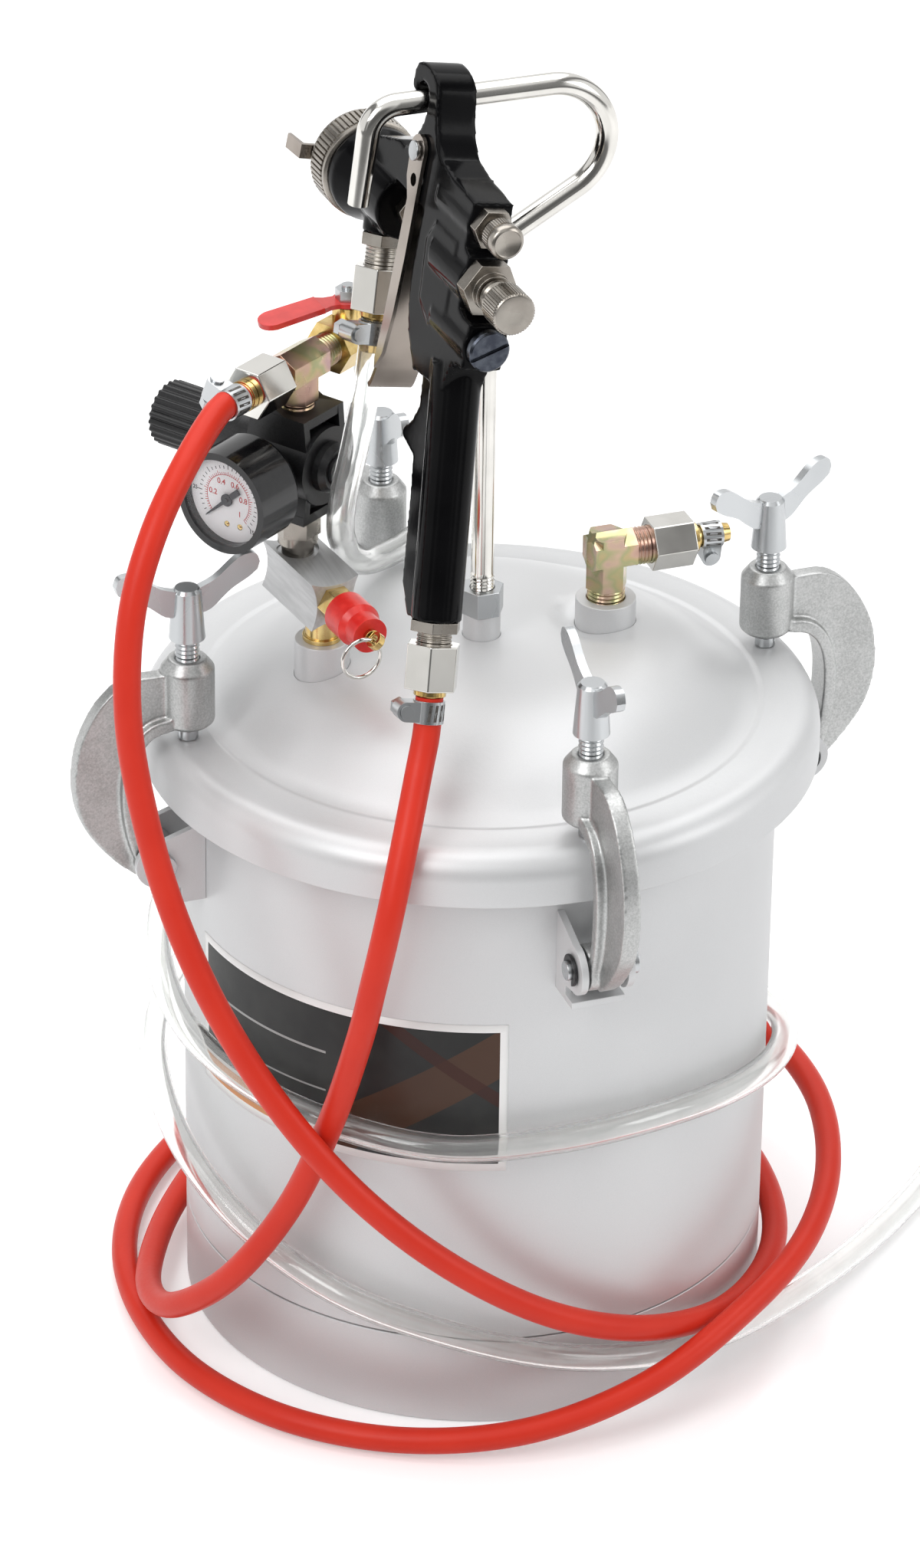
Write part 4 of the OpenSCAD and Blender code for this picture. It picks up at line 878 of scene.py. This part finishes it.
COLUMNS, ROWS = 97, 17
wide, high = np.meshgrid(np.linspace(0, 1, COLUMNS), np.linspace(0, 1, ROWS), indexing="ij")
bearing = np.radians(LABEL_FROM + (LABEL_TO - LABEL_FROM) * wide)
spot = np.stack([LABEL_R * np.cos(bearing), LABEL_R * np.sin(bearing),
                 LABEL_LO + (LABEL_HI - LABEL_LO) * high], -1)
cell = np.arange(COLUMNS * ROWS).reshape(COLUMNS, ROWS)
quads = np.stack([cell[:-1, :-1], cell[1:, :-1], cell[1:, 1:], cell[:-1, 1:]], -1).reshape(-1, 4)
label_mesh = bpy.data.meshes.new("front_label")
label_mesh.from_pydata((spot.reshape(-1, 3) * MM).tolist(), [], quads.tolist())
label_uv = label_mesh.uv_layers.new(name="UVMap")
label_uv.data.foreach_set("uv", np.stack([wide.ravel(), high.ravel()], -1)[quads.ravel()].ravel())
label = piece("front_label", label_mesh, "pot", printed_label)
foil = label.modifiers.new("foil", "SOLIDIFY")
foil.thickness, foil.offset = FOIL_T * MM, 1
print("label", COLUMNS * ROWS, "points")

# %% [markdown]
# ## Slotted bands and the inlet's thread
# A worm clamp's band is pierced by slanted slots that its screw climbs along. Each slot is a small
# curved plate laid on the band, painted with the shade seen in the hole it stands for. The ball valve's
# free end carries a pipe thread, cut as a helix in the radius of a short sleeve.

# %% Band slots
BARB_R, BAND_T, CLAMP_X, TEE_Z = 4.6, 0.8, 27, 427
SLOT_FROM, SLOT_TO, SLOT_STEP, SLOT_W, SLOT_HALF, SLANT = 66, 298, 2.6, 1.2, 3.3, 0.10
SLOT_LIFTS = (0.01, 0.05)
BOX_FACES = np.array([[4, 5, 7, 6], [0, 2, 3, 1], [0, 1, 5, 4], [1, 3, 7, 5], [3, 2, 6, 7], [2, 0, 4, 6]])
CLAMPS = [
    (REGULATOR @ shift(-15, 0, TEE_Z) @ spin("z", 180) @ shift(CLAMP_X, 0, 0) @ spin("x", 70), AIR_R),
    (GUN @ shift(84, 0, -184) @ spin("y", 75) @ shift(9.5 + CLAMP_X, 0, 0) @ spin("x", 100), AIR_R),
    (shift(OUTLET + 18 + CLAMP_X, 0, 334.5) @ spin("x", 190), BARB_R),
    (GUN @ shift(-27.6, 0, -58) @ spin("y", 79) @ shift(22.5 + CLAMP_X, 0, 0) @ spin("x", 80), FLUID_R)]
# painted shade: each slot's plate is near black, the shade inside a hole through the band
slot_shade = Finish("slot_shadow", Roughness=0.6, Metallic=0.6)
slot_shade.shade(slot_shade.noise(800, 2.0), (0.05, 0.045, 0.04), (0.12, 0.11, 0.10))
points, faces = [], []
for matrix, radius in CLAMPS:
    outer = radius + BAND_T
    for turn in np.radians(np.arange(SLOT_FROM, SLOT_TO, math.degrees(SLOT_STEP / outer))):
        a = turn + np.array([-0.5, 0.5]) * SLOT_W / outer
        angle_grid, x_grid = np.meshgrid(a, (-SLOT_HALF, SLOT_HALF), indexing="ij")
        angle_grid = angle_grid + SLANT / outer * x_grid
        for lift in SLOT_LIFTS:
            r = outer + lift
            plate = np.stack([x_grid, -r * np.sin(angle_grid), r * np.cos(angle_grid)], -1)
            points.append(carry(matrix, plate.reshape(-1, 3)))
        faces.append(8 * len(faces) + BOX_FACES)
slot_mesh = bpy.data.meshes.new("hose_clamp_slots")
slot_mesh.from_pydata((np.vstack(points) * MM).tolist(), [], np.vstack(faces).tolist())
piece("hose_clamp_slots", slot_mesh, "pot", slot_shade)
print(len(faces), "slots")

# %% Inlet thread
INLET_LO, INLET_HI, INLET_PITCH, INLET_FADE = 13.6, 23.4, 1.34, 1.2
INLET_R, INLET_RIDGE, INLET_BORE, STEM_X = 6.55, 0.55, 6.3, 33
x = np.linspace(INLET_LO, INLET_HI, 120)[:, None]
a = np.linspace(0, 2 * np.pi, 40, endpoint=False)[None]
ridge = 1 - np.abs(((x / INLET_PITCH - a / (2 * np.pi)) % 1) - 0.5) * 2
fade = np.clip((x - INLET_LO) / INLET_FADE, 0, 1) * np.clip((INLET_HI - x) / INLET_FADE, 0, 1)


def sleeve(radius):
    """Rings about x at one radius, or at one for each ring and angle: (x, r cos a, r sin a)."""
    return np.stack([x + 0 * a, radius * np.cos(a) + 0 * x, radius * np.sin(a) + 0 * x], -1)


thread = np.concatenate([sleeve(INLET_R + INLET_RIDGE * ridge * fade), sleeve(INLET_BORE)[::-1]])
skin("air_inlet_thread", carry(REGULATOR @ shift(STEM_X, 0, TEE_Z), thread), "pot", brass, loop=True)
print("inlet thread", thread.shape[0] * thread.shape[1], "points")
